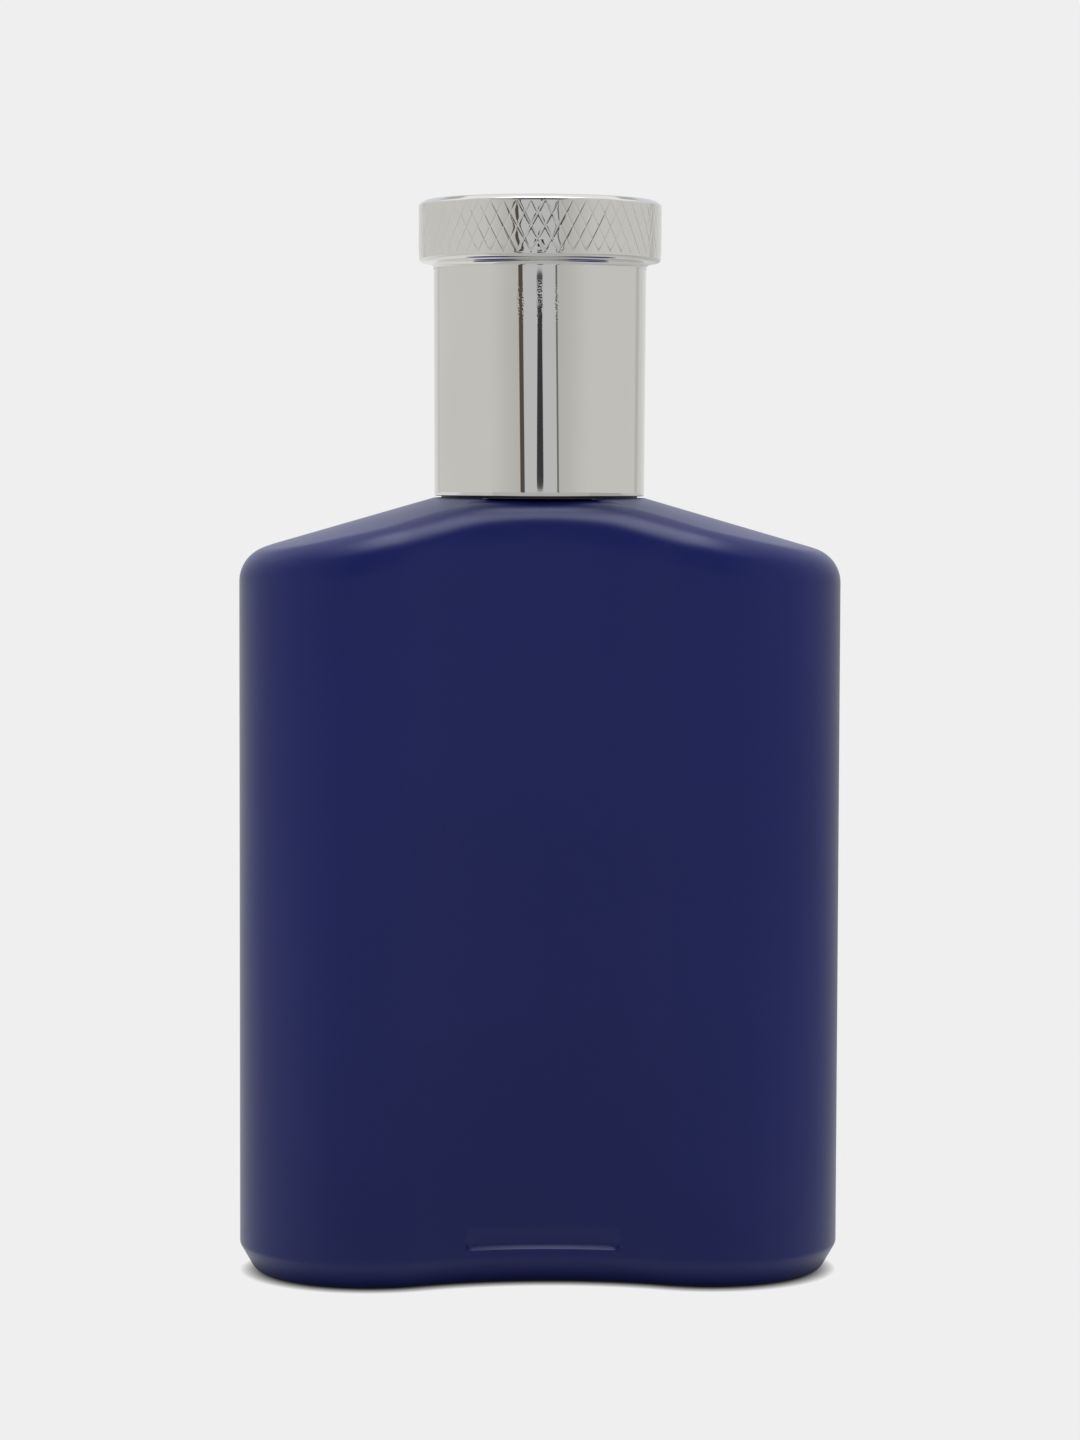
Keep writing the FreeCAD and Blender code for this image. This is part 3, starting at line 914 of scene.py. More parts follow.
    def heel_rows(self) -> list[list[Point]]:
        """Lay the rows from the push-up's ceiling out to the heel's upper edge.

        Returns:
            The rows.
        """
        inner = self.heel_inset + self.heel_round + self.bearing
        corners = [
            Corner(inner + self.push_up_run, self.push_up),
            Corner(inner, self.push_up, self.push_up_round),
            Corner(inner, 0.0, self.bearing_edge),
            Corner(self.heel_inset, 0.0, self.heel_round),
            Corner(0.0, self.heel_height, self.heel_edge),
            Corner(0.0, self.notch_low + self.notch_margins[0]),
        ]
        return [self.level(inset, height) for inset, height in soften(corners, False)]

    def wall_rows(self) -> list[list[Point]]:
        """Lay the rows of the notch and of the plain wall above it.

        Returns:
            The rows.
        """
        ledge = self.shelf - self.notch_low
        fall = self.notch_high - self.shelf
        heights = [self.notch_low, self.notch_low + self.notch_margins[1]]
        heights += [self.notch_low + ledge * share for share in self.ledge_shares]
        for step in range(self.notch_steps + 1):
            heights.append(self.shelf + fall * step / self.notch_steps)
        heights.append(self.notch_high + self.notch_margins[2])
        rows = []
        for height in heights:
            row = []
            for station in self.stations:
                row.append((*station.inset(self.notch(station, height)), height))
            rows.append(row)
        low = heights[-1]
        tops = self.shoulder_rows(0.0, 0.0, self.outer_rolls(), 1)[0]
        for share in self.wall_shares:
            row = []
            for station, top in zip(self.stations, tops):
                row.append((station.x, station.y, low + (top[2] - low) * share))
            rows.append(row)
        return rows

    def shoulder(
        self, station: Station, inset: float, drop: float, radius: float, share: float
    ) -> Point:
        """Return a point on the rolled edge between wall and roof.

        Args:
            station: The place on the outline.
            inset: How far the wall is drawn in.
            drop: How far the roof is lowered.
            radius: The edge's radius.
            share: 0 at the wall to 1 at the roof.

        Returns:
            The point.
        """
        x, y = station.inset(inset + radius)
        height, up = self.roof(x, y, drop + radius)
        out = Vector((-station.inward_x, -station.inward_y, 0.0))
        return tuple(Vector((x, y, height)) + out.slerp(up, share) * radius)

    def roll(self, station: Station) -> float:
        """Return the outer edge's radius, which is larger along the wide faces than at the ends.

        Args:
            station: The place on the outline.

        Returns:
            The radius.
        """
        across = abs(station.x)
        for (near, start), (far, end) in zip(self.rolls, self.rolls[1:]):
            if across <= far:
                return start + (end - start) * ease((across - near) / (far - near))
        return self.rolls[-1][1]

    def outer_rolls(self) -> list[float]:
        """Return the outer edge's radius at each station."""
        return [self.roll(station) for station in self.stations]

    def shoulder_rows(
        self, inset: float, drop: float, radii: Sequence[float], steps: int
    ) -> list[list[Point]]:
        """Lay the rows of a rolled edge, from the wall to the roof.

        Args:
            inset: How far the wall is drawn in.
            drop: How far the roof is lowered.
            radii: The edge's radius at each station.
            steps: Segments round the edge.

        Returns:
            The rows.
        """
        rows = []
        for step in range(steps + 1):
            row = []
            for station, radius in zip(self.stations, radii):
                row.append(self.shoulder(station, inset, drop, radius, step / steps))
            rows.append(row)
        return rows

    def ridge(self, radius: float, sideways: float, edge: float) -> float:
        """Return how far the side slopes run on above the seat's blend, up to the overcap's foot.

        Args:
            radius: Distance from the neck axis.
            sideways: 1 straight to the side, 0 straight to the front or back.
            edge: Distance of the rolled edge from the neck axis.

        Returns:
            The height above the roof.
        """
        top = max(radius, self.ridge_radius)
        straight = self.seat - (top - self.seat_radius) * math.tan(self.slope)
        lift = max(straight - self.roof(top, NECK_Y, 0.0)[0], 0.0)
        foot = self.ridge_stops[-1]
        low, high = self.ridge_sides
        lift *= ease((radius - foot) / (self.ridge_radius - foot))
        return lift * ease((sideways - low) / (high - low)) * ease((edge - radius) / self.ridge_run)

    def seat_rows(self, edge: list[Point]) -> list[list[Point]]:
        """Lay the outer roof's rows from the rolled edge to the neck's root.

        Args:
            edge: The rolled edge's last row.

        Returns:
            The rows, the last one round the neck's root.
        """
        root = self.neck_radius + self.neck_root
        wide, foot = self.ridge_stops[0], self.ridge_stops[-1]
        columns = []
        for (x, y, _), angle in zip(edge, self.polar(edge)):
            start = math.hypot(x, y - NECK_Y)
            stops = []
            for step in range(1, self.seat_steps + 1):
                stops.append(start + (wide - start) * step / self.seat_steps)
            stops += self.ridge_stops[1:]
            for step in range(1, self.root_steps + 1):
                stops.append(foot + (root - foot) * step / self.root_steps)
            column = []
            for place, stop in enumerate(stops, 1):
                radius = min(stop, start - self.least_step * place)
                px, py, _ = circle(radius, 0.0, [angle])[0]
                lift = self.ridge(radius, abs(math.cos(angle)), start)
                column.append((px, py, self.roof(px, py, 0.0)[0] + lift))
            columns.append(column)
        return [list(row) for row in zip(*columns)]

    def cavity_roof_rows(self, edge: list[Point]) -> list[list[Point]]:
        """Lay the rows under the roof from the cavity's rolled edge to the bore.

        Args:
            edge: The rolled edge's last row.

        Returns:
            The rows, the last one round the bore.
        """
        ring = circle(self.bore_radius, 0.0, self.polar(edge))
        rows = []
        for step in range(1, self.cavity_roof_steps + 1):
            share = step / self.cavity_roof_steps
            row = []
            for start, end in zip(edge, ring):
                x = start[0] + (end[0] - start[0]) * share
                y = start[1] + (end[1] - start[1]) * share
                row.append((x, y, self.roof(x, y, self.glass)[0]))
            rows.append(row)
        return rows

    def polar(self, row: list[Point]) -> list[float]:
        """Return the angles of a row's points round the neck axis."""
        return [math.atan2(y - NECK_Y, x) for x, y, _ in row]

    def neck_rows(self, angles: list[float]) -> list[list[Point]]:
        """Lay the rows up the neck, over the land and down the bore.

        Args:
            angles: The angles of each row's points.

        Returns:
            The rows.
        """
        land = self.seat + self.neck_height
        taper = land - self.bead_face - self.bead_taper
        under, over, rim, bore = self.bead_rounds
        corners = [
            Corner(self.neck_radius + 2 * self.neck_root, self.seat),
            Corner(self.neck_radius, self.seat, self.neck_root),
            Corner(self.neck_radius, taper, under),
            Corner(self.bead_radius, land - self.bead_face, over),
            Corner(self.bead_radius, land, rim),
            Corner(self.bore_radius, land, bore),
            Corner(self.bore_radius, self.seat - self.glass),
        ]
        profile = soften(corners, False, self.neck_steps)
        return [circle(radius, height, angles) for radius, height in profile[1:]]

    def cavity_rows(self) -> list[list[Point]]:
        """Lay the rows of the cavity, from the bore down to its floor.

        Returns:
            The rows.
        """
        radii = [self.cavity_round] * len(self.stations)
        edge = self.shoulder_rows(self.glass, self.glass, radii, self.cavity_steps)
        corners = [
            Corner(self.glass, self.floor + self.cavity_rise),
            Corner(self.glass, self.floor, self.cavity_round),
            Corner(self.glass + self.floor_run, self.floor),
        ]
        rows = list(reversed(self.cavity_roof_rows(edge[-1])[:-1]))
        rows += reversed(edge)
        rows += [self.level(inset, height) for inset, height in soften(corners, False)]
        return rows

    def build(self) -> bpy.types.Object:
        """Build the flask's mesh, outside and inside, and dress it in lacquer.

        Returns:
            The flask.
        """
        draft = Draft()
        rows = self.heel_rows() + self.wall_rows()
        rows += self.shoulder_rows(0.0, 0.0, self.outer_rolls(), self.roll_steps)
        angles = self.polar(rows[-1])
        rows += self.seat_rows(rows[-1])
        rows += self.neck_rows(angles)
        rows += self.cavity_rows()
        draft.close_ends(draft.skin(rows))
        piece = draft.make("flask_body")
        settle(piece, Body.FLASK, "bottle", NAVY_LACQUER)
        return piece


@dataclass
class Overcap:
    """The pull-off overcap: drawn sleeve, diamond-knurled head ring and inlay disc."""

    low: float = 103.5
    high: float = 142.85
    radius: float = 14.05
    draft: float = 0.15
    wall: float = 0.9
    rim_round: float = 0.15
    foot_draft: float = 0.02
    foot_height: float = 0.6
    sleeve_top: float = 141.67
    sleeve_round: float = 0.3
    sleeve_hole: float = 0.4
    sleeve_sides: int = 256
    ring_radius: float = 16.22
    ring_draw: float = 0.05
    ring_draw_height: float = 1.6
    ring_height: float = 8.15
    ring_edge: float = 0.6
    ring_shelf: float = 0.12
    ring_slope: float = 0.76
    ring_crown: float = 0.45
    ring_rounds: tuple[float, ...] = (0.4, 0.5, 0.5, 0.15)
    ring_bottom_round: float = 0.6
    ring_taper: float = 0.35
    ring_sink: float = 0.08
    ring_foot: float = 0.6
    ring_lip: float = 13.52
    ring_fit: float = 0.02
    ring_seat: float = 0.03
    ring_steps: int = 10
    ring_sharp: float = 28.0
    disc_radius: float = 13.5
    disc_low: float = 141.7
    disc_thickness: float = 0.8
    disc_round: float = 0.25
    disc_ring: float = 0.6
    disc_hole: float = 0.2
    disc_sides: int = 192
    knurl_count: int = 56
    knurl_rows: int = 4
    knurl_low: float = 135.33
    knurl_high: float = 141.97
    groove_shares: tuple[float, ...] = (
        0.0, 0.014, 0.036, 0.05, 0.2, 0.35, 0.5, 0.65, 0.8, 0.95, 0.964, 0.986, 1.0
    )
    groove_depths: tuple[float, ...] = (0.029, 0.022, 0.004, 0.0)
    pillow: float = 0.008
    rim_step: float = 0.03
    knurl_fade: float = 0.7
    knurl_uneven: float = 0.25
    knurl_beat: float = 2.4

    def build(self) -> list[bpy.types.Object]:
        """Build and dress the three metal pieces.

        Returns:
            The sleeve, the ring and the disc.
        """
        sleeve = self.sleeve()
        settle(sleeve, Body.OVERCAP, "cap_sleeve", SLEEVE_PLATE)
        ring = self.knurled_ring()
        settle(ring, Body.OVERCAP, "cap_knurled_ring", RING_PLATE)
        disc = self.top_disc()
        settle(disc, Body.OVERCAP, "cap_top_disc", RING_PLATE)
        return [sleeve, ring, disc]

    def sleeve(self) -> bpy.types.Object:
        """Build the drawn tube, closed at the top.

        Returns:
            The sleeve.
        """
        inner = self.radius - self.wall
        head = self.radius + self.draft
        ceiling = self.sleeve_top - self.wall
        corners = [
            Corner(inner, self.low, self.rim_round),
            Corner(self.radius, self.low, self.rim_round),
            Corner(self.radius + self.draft * self.foot_draft, self.low + self.foot_height),
            Corner(head, self.high - self.ring_height),
            Corner(head, self.sleeve_top, self.sleeve_round),
            Corner(self.sleeve_hole, self.sleeve_top),
            Corner(self.sleeve_hole, ceiling),
            Corner(inner, ceiling, self.sleeve_round),
        ]
        draft = Draft()
        angles = even_angles(self.sleeve_sides)
        draft.skin([circle(r, z, angles) for r, z in soften(corners, True)], True)
        return draft.make("overcap_sleeve")

    def top_disc(self) -> bpy.types.Object:
        """Build the inlay disc with a softened rim.

        Returns:
            The disc.
        """
        top = self.disc_low + self.disc_thickness
        corners = [
            Corner(self.disc_hole, self.disc_low),
            Corner(self.disc_radius, self.disc_low),
            Corner(self.disc_radius, top, self.disc_round),
            Corner(self.disc_radius * self.disc_ring, top),
            Corner(self.disc_hole, top),
        ]
        draft = Draft()
        angles = even_angles(self.disc_sides)
        draft.close_ends(draft.skin([circle(r, z, angles) for r, z in soften(corners, False)]))
        return draft.make("overcap_inlay")

    def knurled_ring(self) -> bpy.types.Object:
        """Build the head ring with its band of flat-topped diamonds.

        Returns:
            The ring.
        """
        draft = Draft()
        low_loop, high_loop, angles = self.diamonds(draft)
        rim = self.ring_radius
        drawn = rim - self.ring_draw
        crest = rim - self.ring_slope
        inner = self.radius + self.draft + self.ring_fit
        bottom = self.high - self.ring_height - self.ring_sink
        foot = bottom - self.ring_taper
        seat = self.sleeve_top + self.ring_seat
        shoulder, slope, crown, lip = self.ring_rounds
        corners = [
            Corner(rim, self.knurl_high + self.rim_step),
            Corner(rim, self.high - self.ring_edge, shoulder),
            Corner(crest, self.high - self.ring_shelf, slope),
            Corner(crest - self.ring_crown, self.high, crown),
            Corner(self.ring_lip, self.high, lip),
            Corner(self.ring_lip, seat),
            Corner(inner, seat),
            Corner(inner, foot - self.ring_foot),
            Corner(inner + self.ring_fit, foot - self.ring_foot),
            Corner(inner + self.ring_fit, foot, self.ring_foot),
            Corner(drawn, bottom, self.ring_bottom_round),
            Corner(drawn, self.knurl_low - self.rim_step),
        ]
        profile = soften(corners, False, self.ring_steps)
        loops = draft.skin([circle(r, z, angles) for r, z in profile])
        draft.band(high_loop, loops[0])
        draft.band(loops[-1], low_loop)
        return draft.make("overcap_knurled_ring", self.ring_sharp)

    def sink(self, first: int, second: int) -> float:
        """Return how far a point of the lattice lies under the ring's outside.

        Args:
            first: The point's number across one set of grooves.
            second: The point's number across the other set.

        Returns:
            The depth of a groove, which differs from groove to groove, or of the slight crown.
        """
        fine = len(self.groove_shares) - 1
        groove = 0.0
        crown = 1.0
        for number in (first, second):
            cell, step = divmod(number, fine)
            side = min(step, fine - step)
            if side < len(self.groove_depths):
                nearest = cell if step == side else cell + 1
                beat = math.sin(self.knurl_beat * (nearest % self.knurl_count))
                groove = max(groove, self.groove_depths[side] * (1 + self.knurl_uneven * beat))
            crown *= 1 - (2 * self.groove_shares[step] - 1) ** 2
        return groove + self.pillow * (1 - crown)

    def lattice_point(self, first: int, second: int) -> Point:
        """Return a point of the diamond lattice.

        Args:
            first: The point's number across one set of grooves.
            second: The point's number across the other set.

        Returns:
            The point on the ring.
        """
        fine = len(self.groove_shares) - 1
        u = first // fine + self.groove_shares[first % fine]
        v = second // fine + self.groove_shares[second % fine]
        off_middle = abs(2 * (u - v) / self.knurl_rows - 1)
        depth = self.sink(first, second) * (1 - self.knurl_fade * off_middle**3)
        rise = (u - v) * (self.knurl_high - self.knurl_low) / self.knurl_rows
        under = max(0.0, 1 - rise / self.ring_draw_height)
        radius = self.ring_radius - depth - self.ring_draw * under * under
        angle = math.pi * (u + v) / self.knurl_count
        return circle(radius, self.knurl_low + rise, [angle])[0]

    def cell_corners(self, row: int, a: int, b: int) -> list[tuple[int, int]]:
        """Return the corners of one small face, cut off at the band's lower and upper edge.

        Args:
            row: The diamond's row.
            a: The face's number in the diamond, one way.
            b: The face's number the other way.

        Returns:
            The corners as steps both ways, or nothing outside the band.
        """
        corners = [(0, 0), (1, 0), (1, 1), (0, 1)]
        if row == 0 and a <= b:
            return corners[:3] if a == b else []
        if row == self.knurl_rows and a >= b:
            return [(0, 0), (1, 1), (0, 1)] if a == b else []
        return corners

    def diamonds(self, draft: Draft) -> tuple[list[int], list[int], list[float]]:
        """Lay the diamond lattice round the ring.

        Args:
            draft: The draft that takes the points and faces.

        Returns:
            The lowest loop, the highest loop and the angles of their points.
        """
        cells = self.knurl_count
        fine = len(self.groove_shares) - 1
        turn = cells * fine
        numbers: dict[tuple[int, int], int] = {}

        def number(first: int, second: int) -> int:
            """Return a lattice point's number in the draft, and lay the point the first time.

            Args:
                first: The point's number across one set of grooves.
                second: The point's number across the other set.

            Returns:
                Its number in the draft.
            """
            turns = (first + second) // (2 * turn)
            key = (first - turns * turn, second - turns * turn)
            if key not in numbers:
                numbers[key] = draft.loop([self.lattice_point(*key)])[0]
            return numbers[key]

        for row in range(self.knurl_rows + 1):
            for cell in range(cells):
                for a in range(fine):
                    for b in range(fine):
                        first, second = (cell + row) * fine + a, cell * fine + b
                        corners = self.cell_corners(row, a, b)
                        if corners:
                            face = [number(first + i, second + j) for i, j in reversed(corners)]
                            draft.faces.append(tuple(face))

        low_loop = [number(step, step) for step in range(turn)]
        rise = self.knurl_rows * fine
        high_loop = [number(step + rise, step) for step in range(turn)]
        start = self.knurl_rows // 2 * fine
        high_loop = high_loop[-start:] + high_loop[:-start]
        angles = []
        for step in range(turn):
            share = step // fine + self.groove_shares[step % fine]
            angles.append(2 * math.pi * share / cells)
        return low_loop, high_loop, angles


@dataclass
class PumpAndCollar:
    """The pump, collar and button: CAD pieces with soft edges, and the coil spring."""

    coil_radius: float = 2.275
    wire_radius: float = 0.225
    coil_low: float = 97.235
    coil_high: float = 104.785
    coil_turns: float = 6.0
    coil_steps: int = 40
    wire_sides: int = 10
    wire_sharp: float = 50.0
    seat: float = 97.01
    closed_share: float = 0.4375
    merge_reach: float = 0.002
    smooth_angle: float = 32.0
    finishes: dict[str, Finish] = field(
        default_factory=lambda: {
            "neck_gasket": SEAL_BLACK,
            "stem_gasket": SEAL_BLACK,
            "pump_housing": NATURAL_PUMP,
            "pump_turret": NATURAL_PUMP,
            "pump_stem": NATURAL_PUMP,
            "valve_pin": NATURAL_PUMP,
            "pump_piston": PISTON_TINT,
            "dip_tube": MILKY_TUBE,
            "inlet_ball": SPRING_WIRE,
            "crimp_ferrule": FERRULE_SHEET,
            "collar_insert": BLACK_LINER_AND_GAP_SHADE,
            "collar_shell": COLLAR_PLATE,
            "actuator_core": BUTTON_MOULDING,
            "actuator_sleeve": COLLAR_PLATE,
            "nozzle_insert": BLACK_NOZZLE,
            "cap_liner": BLACK_LINER_AND_GAP_SHADE,
        }
    )

    def dress(self) -> None:
        """Smooth the carried-over CAD pieces and give each its finish."""
        smoothing = self.smoothing()
        for node, finish in self.finishes.items():
            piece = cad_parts[node]
            piece.data.materials.clear()
            piece.data.materials.append(material_of(finish))
            modifier = piece.modifiers.new("smooth_faces", "NODES")
            modifier.node_group = smoothing
            log.info("%s keeps its CAD shape in %s", node, finish.name)

    def smoothing(self) -> bpy.types.NodeTree:
        """Make a modifier that shades round faces smooth and keeps crisp edges.

        Returns:
            The modifier's node group.
        """
        tree = bpy.data.node_groups.new("smooth_faces", "GeometryNodeTree")
        tree.interface.new_socket("Geometry", in_out="INPUT", socket_type="NodeSocketGeometry")
        tree.interface.new_socket("Geometry", in_out="OUTPUT", socket_type="NodeSocketGeometry")
        bench = NodeBench(tree)
        source = bench.add("NodeGroupInput")
        plain = bench.add("GeometryNodeRemoveAttribute")
        plain.inputs["Name"].default_value = "custom_normal"
        merge = bench.add("GeometryNodeMergeByDistance")
        merge.inputs["Distance"].default_value = self.merge_reach * MM
        faces = bench.add("GeometryNodeSetShadeSmooth", domain="FACE")
        edges = bench.add("GeometryNodeSetShadeSmooth", domain="EDGE")
        angle = bench.add("GeometryNodeInputMeshEdgeAngle")
        soft = bench.add("FunctionNodeCompare", operation="LESS_THAN")
        bench.feed(soft.inputs[0], angle.outputs["Unsigned Angle"])
        soft.inputs[1].default_value = math.radians(self.smooth_angle)
        bench.feed(plain.inputs["Geometry"], source.outputs[0])
        bench.feed(merge.inputs["Geometry"], plain.outputs["Geometry"])
        bench.feed(faces.inputs["Geometry"], merge.outputs["Geometry"])
        bench.feed(edges.inputs["Geometry"], faces.outputs["Geometry"])
        bench.feed(edges.inputs["Shade Smooth"], soft.outputs["Result"])
        sink = bench.add("NodeGroupOutput")
        bench.feed(sink.inputs[0], edges.outputs["Geometry"])
        return tree

    def spring(self) -> bpy.types.Object:
        """Build the coil spring, which flattens as the button goes down.

        Returns:
            The spring.
        """
        draft = Draft()
        count = int(self.coil_turns * self.coil_steps)
        rise = (self.coil_high - self.coil_low) / count
        rows = []
        for step in range(count + 1):
            angle = 2 * math.pi * step / self.coil_steps
            out = Vector((math.cos(angle), math.sin(angle), 0.0))
            middle = Vector((0.0, NECK_Y, self.coil_low + rise * step)) + out * self.coil_radius
            row = []
            for spoke in even_angles(self.wire_sides):
                reach = out * math.cos(spoke) + Vector((0.0, 0.0, math.sin(spoke)))
                row.append(tuple(middle + reach * self.wire_radius))
            rows.append(row)
        draft.close_ends(draft.skin(rows))
        piece = draft.make("pump_coil_spring", self.wire_sharp)
        settle(piece, Body.FLASK, "return_spring", SPRING_WIRE)
        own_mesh(piece)
        return piece


@dataclass(frozen=True)
class Upright:
    """A narrow upright strip of the tent, such as a seam or a fold.

    Attributes:
        azimuth: Where its middle stands, in degrees.
        step: Half-widths at which it starts to show and at which it is full.
        tone: Its colour.
    """

    azimuth: float
    step: Step
    tone: Colour


@dataclass(frozen=True)
class LightTent:
    """A pale tent round the bottle, as the world: panels, seams and an overhead softbox.

    Angles are in degrees: azimuth from the camera's side, positive to the right, and height above
    the horizon. The ceiling is laid out on a level plane one unit overhead. A step gives where a
    soft edge starts and where it is full.
    """

    heading: float = -2.3
    backdrop: float = 0.863
    side: float = 0.66
    side_tint: Colour = (1.0, 0.995, 0.97)
    near_share: float = 0.82
    near_step: Step = (18.0, 60.0)
    front: float = 0.59
    front_tint: Colour = (0.98, 1.0, 1.02)
    front_step: Step = (20.0, 19.0)
    lean: float = 0.9
    seams: tuple[Upright, ...] = (
        Upright(-18.9, (2.7, 2.0), (0.1, 0.08, 0.07)),
        Upright(19.6, (1.3, 0.7), (0.18, 0.17, 0.16)),
    )
    back: float = 0.76
    back_step: Step = (138.0, 168.0)
    folds: tuple[Upright, ...] = (
        Upright(132.5, (7.0, 1.5), (0.53, 0.53, 0.52)),
        Upright(-144.0, (5.0, 1.5), (0.6, 0.6, 0.59)),
    )
    dark: float = 0.075
    gap_low: float = 7.0
    gap_flare: float = 0.35
    gap_side_step: Step = (21.0, 18.0)
    gap_low_step: Step = (5.5, 7.5)
    lens_tone: Colour = (0.045, 0.044, 0.05)
    lens_azimuth: float = 0.6
    lens_lean: float = 0.4
    lens_half: float = 3.3
    lens_taper: float = 0.5
    lens_least: float = 2.5
    lens_head_step: Step = (1.98, 2.12)
    lens_height: float = 0.65
    lens_reach: float = 1.63
    lens_side_power: float = 2.5
    lens_end_power: float = 36.0
    lens_step: Step = (1.15, 0.8)
    lowest: float = 0.05
    roof_step: Step = (0.3, 0.4)
    outside_step: Step = (0.6, 0.95)
    inside_step: Step = (0.95, 0.6)
    dim: float = 0.6
    dim_step: Step = (38.0, 50.0)
    dark_step: Step = (44.0, 52.0)
    behind: float = 0.95
    behind_step: Step = (0.0, 0.1)
    strip: float = 0.5
    strip_step: Step = (0.98, 1.14)
    strip_side_step: Step = (1.0, 0.7)
    rear: Colour = (0.71, 0.725, 0.775)
    rear_high_step: Step = (34.0, 28.0)
    rear_low_step: Step = (8.0, 16.0)
    softbox: float = 6.3
    softbox_veil: float = 0.9
    softbox_core_step: Step = (0.46, 0.08)
    softbox_front_step: Step = (-0.39, -0.29)
    softbox_back_step: Step = (0.36, 0.2)

    def make(self) -> None:
        """Fill the scene's world."""
        world = bpy.data.worlds.new("light_tent")
        bpy.context.scene.world = world
        world.use_nodes = True
        bench = NodeBench(world.node_tree)
        split = bench.add("ShaderNodeSeparateXYZ")
        bench.feed(split.inputs[0], bench.add("ShaderNodeTexCoord").outputs["Generated"])
        x, y, z = split.outputs
        front = bench.math("MULTIPLY", y, -1.0)
        azimuth = bench.math("DEGREES", bench.math("ARCTAN2", x, front))
        azimuth = bench.math("SUBTRACT", azimuth, self.heading)
        height = bench.math("DEGREES", bench.math("ARCSINE", z))

        room = self.wall(bench, azimuth, height)
        room = self.dark_gap(bench, room, azimuth, height)
        room = self.lens(bench, room, azimuth, height)
        room = self.ceiling(bench, room, height, split)

        path = bench.add("ShaderNodeLightPath")
        colour = bench.blend(path.outputs["Is Camera Ray"], room, grey(self.backdrop))
        light = bench.add("ShaderNodeBackground")
        bench.feed(light.inputs["Color"], colour)
        bench.feed(bench.add("ShaderNodeOutputWorld").inputs["Surface"], light.outputs[0])
        log.info("light tent filled")

    def wall(self, bench: NodeBench, azimuth: Socket, height: Socket) -> Socket:
        """Return the tent wall's colour round the bottle: panels, leaning seams and folds.

        Args:
            bench: The world's bench.
            azimuth: The direction round the bottle.
            height: The direction's height.

        Returns:
            The colour's socket.
        """
        wide = bench.math("ABSOLUTE", azimuth)
        panel = tuple(self.side * share for share in self.side_tint)
        near = tuple(channel * self.near_share for channel in panel)
        front = tuple(self.front * share for share in self.front_tint)
        colour = bench.blend(bench.fade(wide, *self.near_step), near, panel)
        colour = bench.blend(bench.fade(wide, *self.front_step), colour, front)
        leaned = bench.math("ADD", azimuth, bench.math("MULTIPLY", height, self.lean))
        for seam in self.seams:
            shown = bench.fade(bench.off(leaned, seam.azimuth), *seam.step)
            colour = bench.blend(shown, colour, seam.tone)
        colour = bench.blend(bench.fade(wide, *self.back_step), colour, grey(self.back))
        for fold in self.folds:
            shown = bench.fade(bench.off(azimuth, fold.azimuth), *fold.step)
            colour = bench.blend(shown, colour, fold.tone)
        return colour

    def dark_gap(self, bench: NodeBench, room: Socket, azimuth: Socket, height: Socket) -> Socket:
        """Darken the open gap over the front panel, which widens upwards.

        Args:
            bench: The world's bench.
            room: The colour so far.
            azimuth: The direction round the bottle.
            height: The direction's height.

        Returns:
            The colour's socket.
        """
        over = bench.math("SUBTRACT", height, self.gap_low)
        flare = bench.math("MULTIPLY", over, self.gap_flare)
        wide = bench.math("SUBTRACT", bench.math("ABSOLUTE", azimuth), flare)
        zone = (bench.fade(wide, *self.gap_side_step), bench.fade(height, *self.gap_low_step))
        return bench.paint(room, zone, grey(self.dark))

    def lens(self, bench: NodeBench, room: Socket, azimuth: Socket, height: Socket) -> Socket:
        """Darken the tall lens opening in the front panel, which has a wider head.

        Args:
            bench: The world's bench.
            room: The colour so far.
            azimuth: The direction round the bottle.
            height: The direction's height.

        Returns:
            The colour's socket.
        """
        aside = bench.math("ADD", azimuth, bench.math("MULTIPLY", height, self.lens_lean))
        taper = bench.math("MULTIPLY", height, self.lens_taper)
        half = bench.math("SUBTRACT", self.lens_half, taper)
        half = bench.math("MAXIMUM", half, self.lens_least)
        half = bench.math("ADD", half, bench.fade(height, *self.lens_head_step))
        across = bench.math("DIVIDE", bench.off(aside, self.lens_azimuth), half)
        up = bench.math("DIVIDE", bench.off(height, self.lens_height), self.lens_reach)
        tall = bench.math("POWER", bench.math("MINIMUM", up, 2.0), self.lens_end_power)
        far = bench.math("ADD", bench.math("POWER", across, self.lens_side_power), tall)
        return bench.blend(bench.fade(far, *self.lens_step), room, self.lens_tone)

    def ceiling(
        self, bench: NodeBench, room: Socket, height: Socket, split: bpy.types.Node
    ) -> Socket:
        """Roof the tent: dim in front, pale behind, with the softbox and its rear frame.

        Args:
            bench: The world's bench.
            room: The colour so far.
            height: The direction's height.
            split: The direction's three parts.

        Returns:
            The colour's socket.
        """
        x, y, z = split.outputs
        level = bench.math("MAXIMUM", z, self.lowest)
        across = bench.math("ABSOLUTE", bench.math("DIVIDE", x, level))
        along = bench.math("DIVIDE", y, level)
        high = bench.fade(z, *self.roof_step)
        inside = bench.fade(across, *self.inside_step)

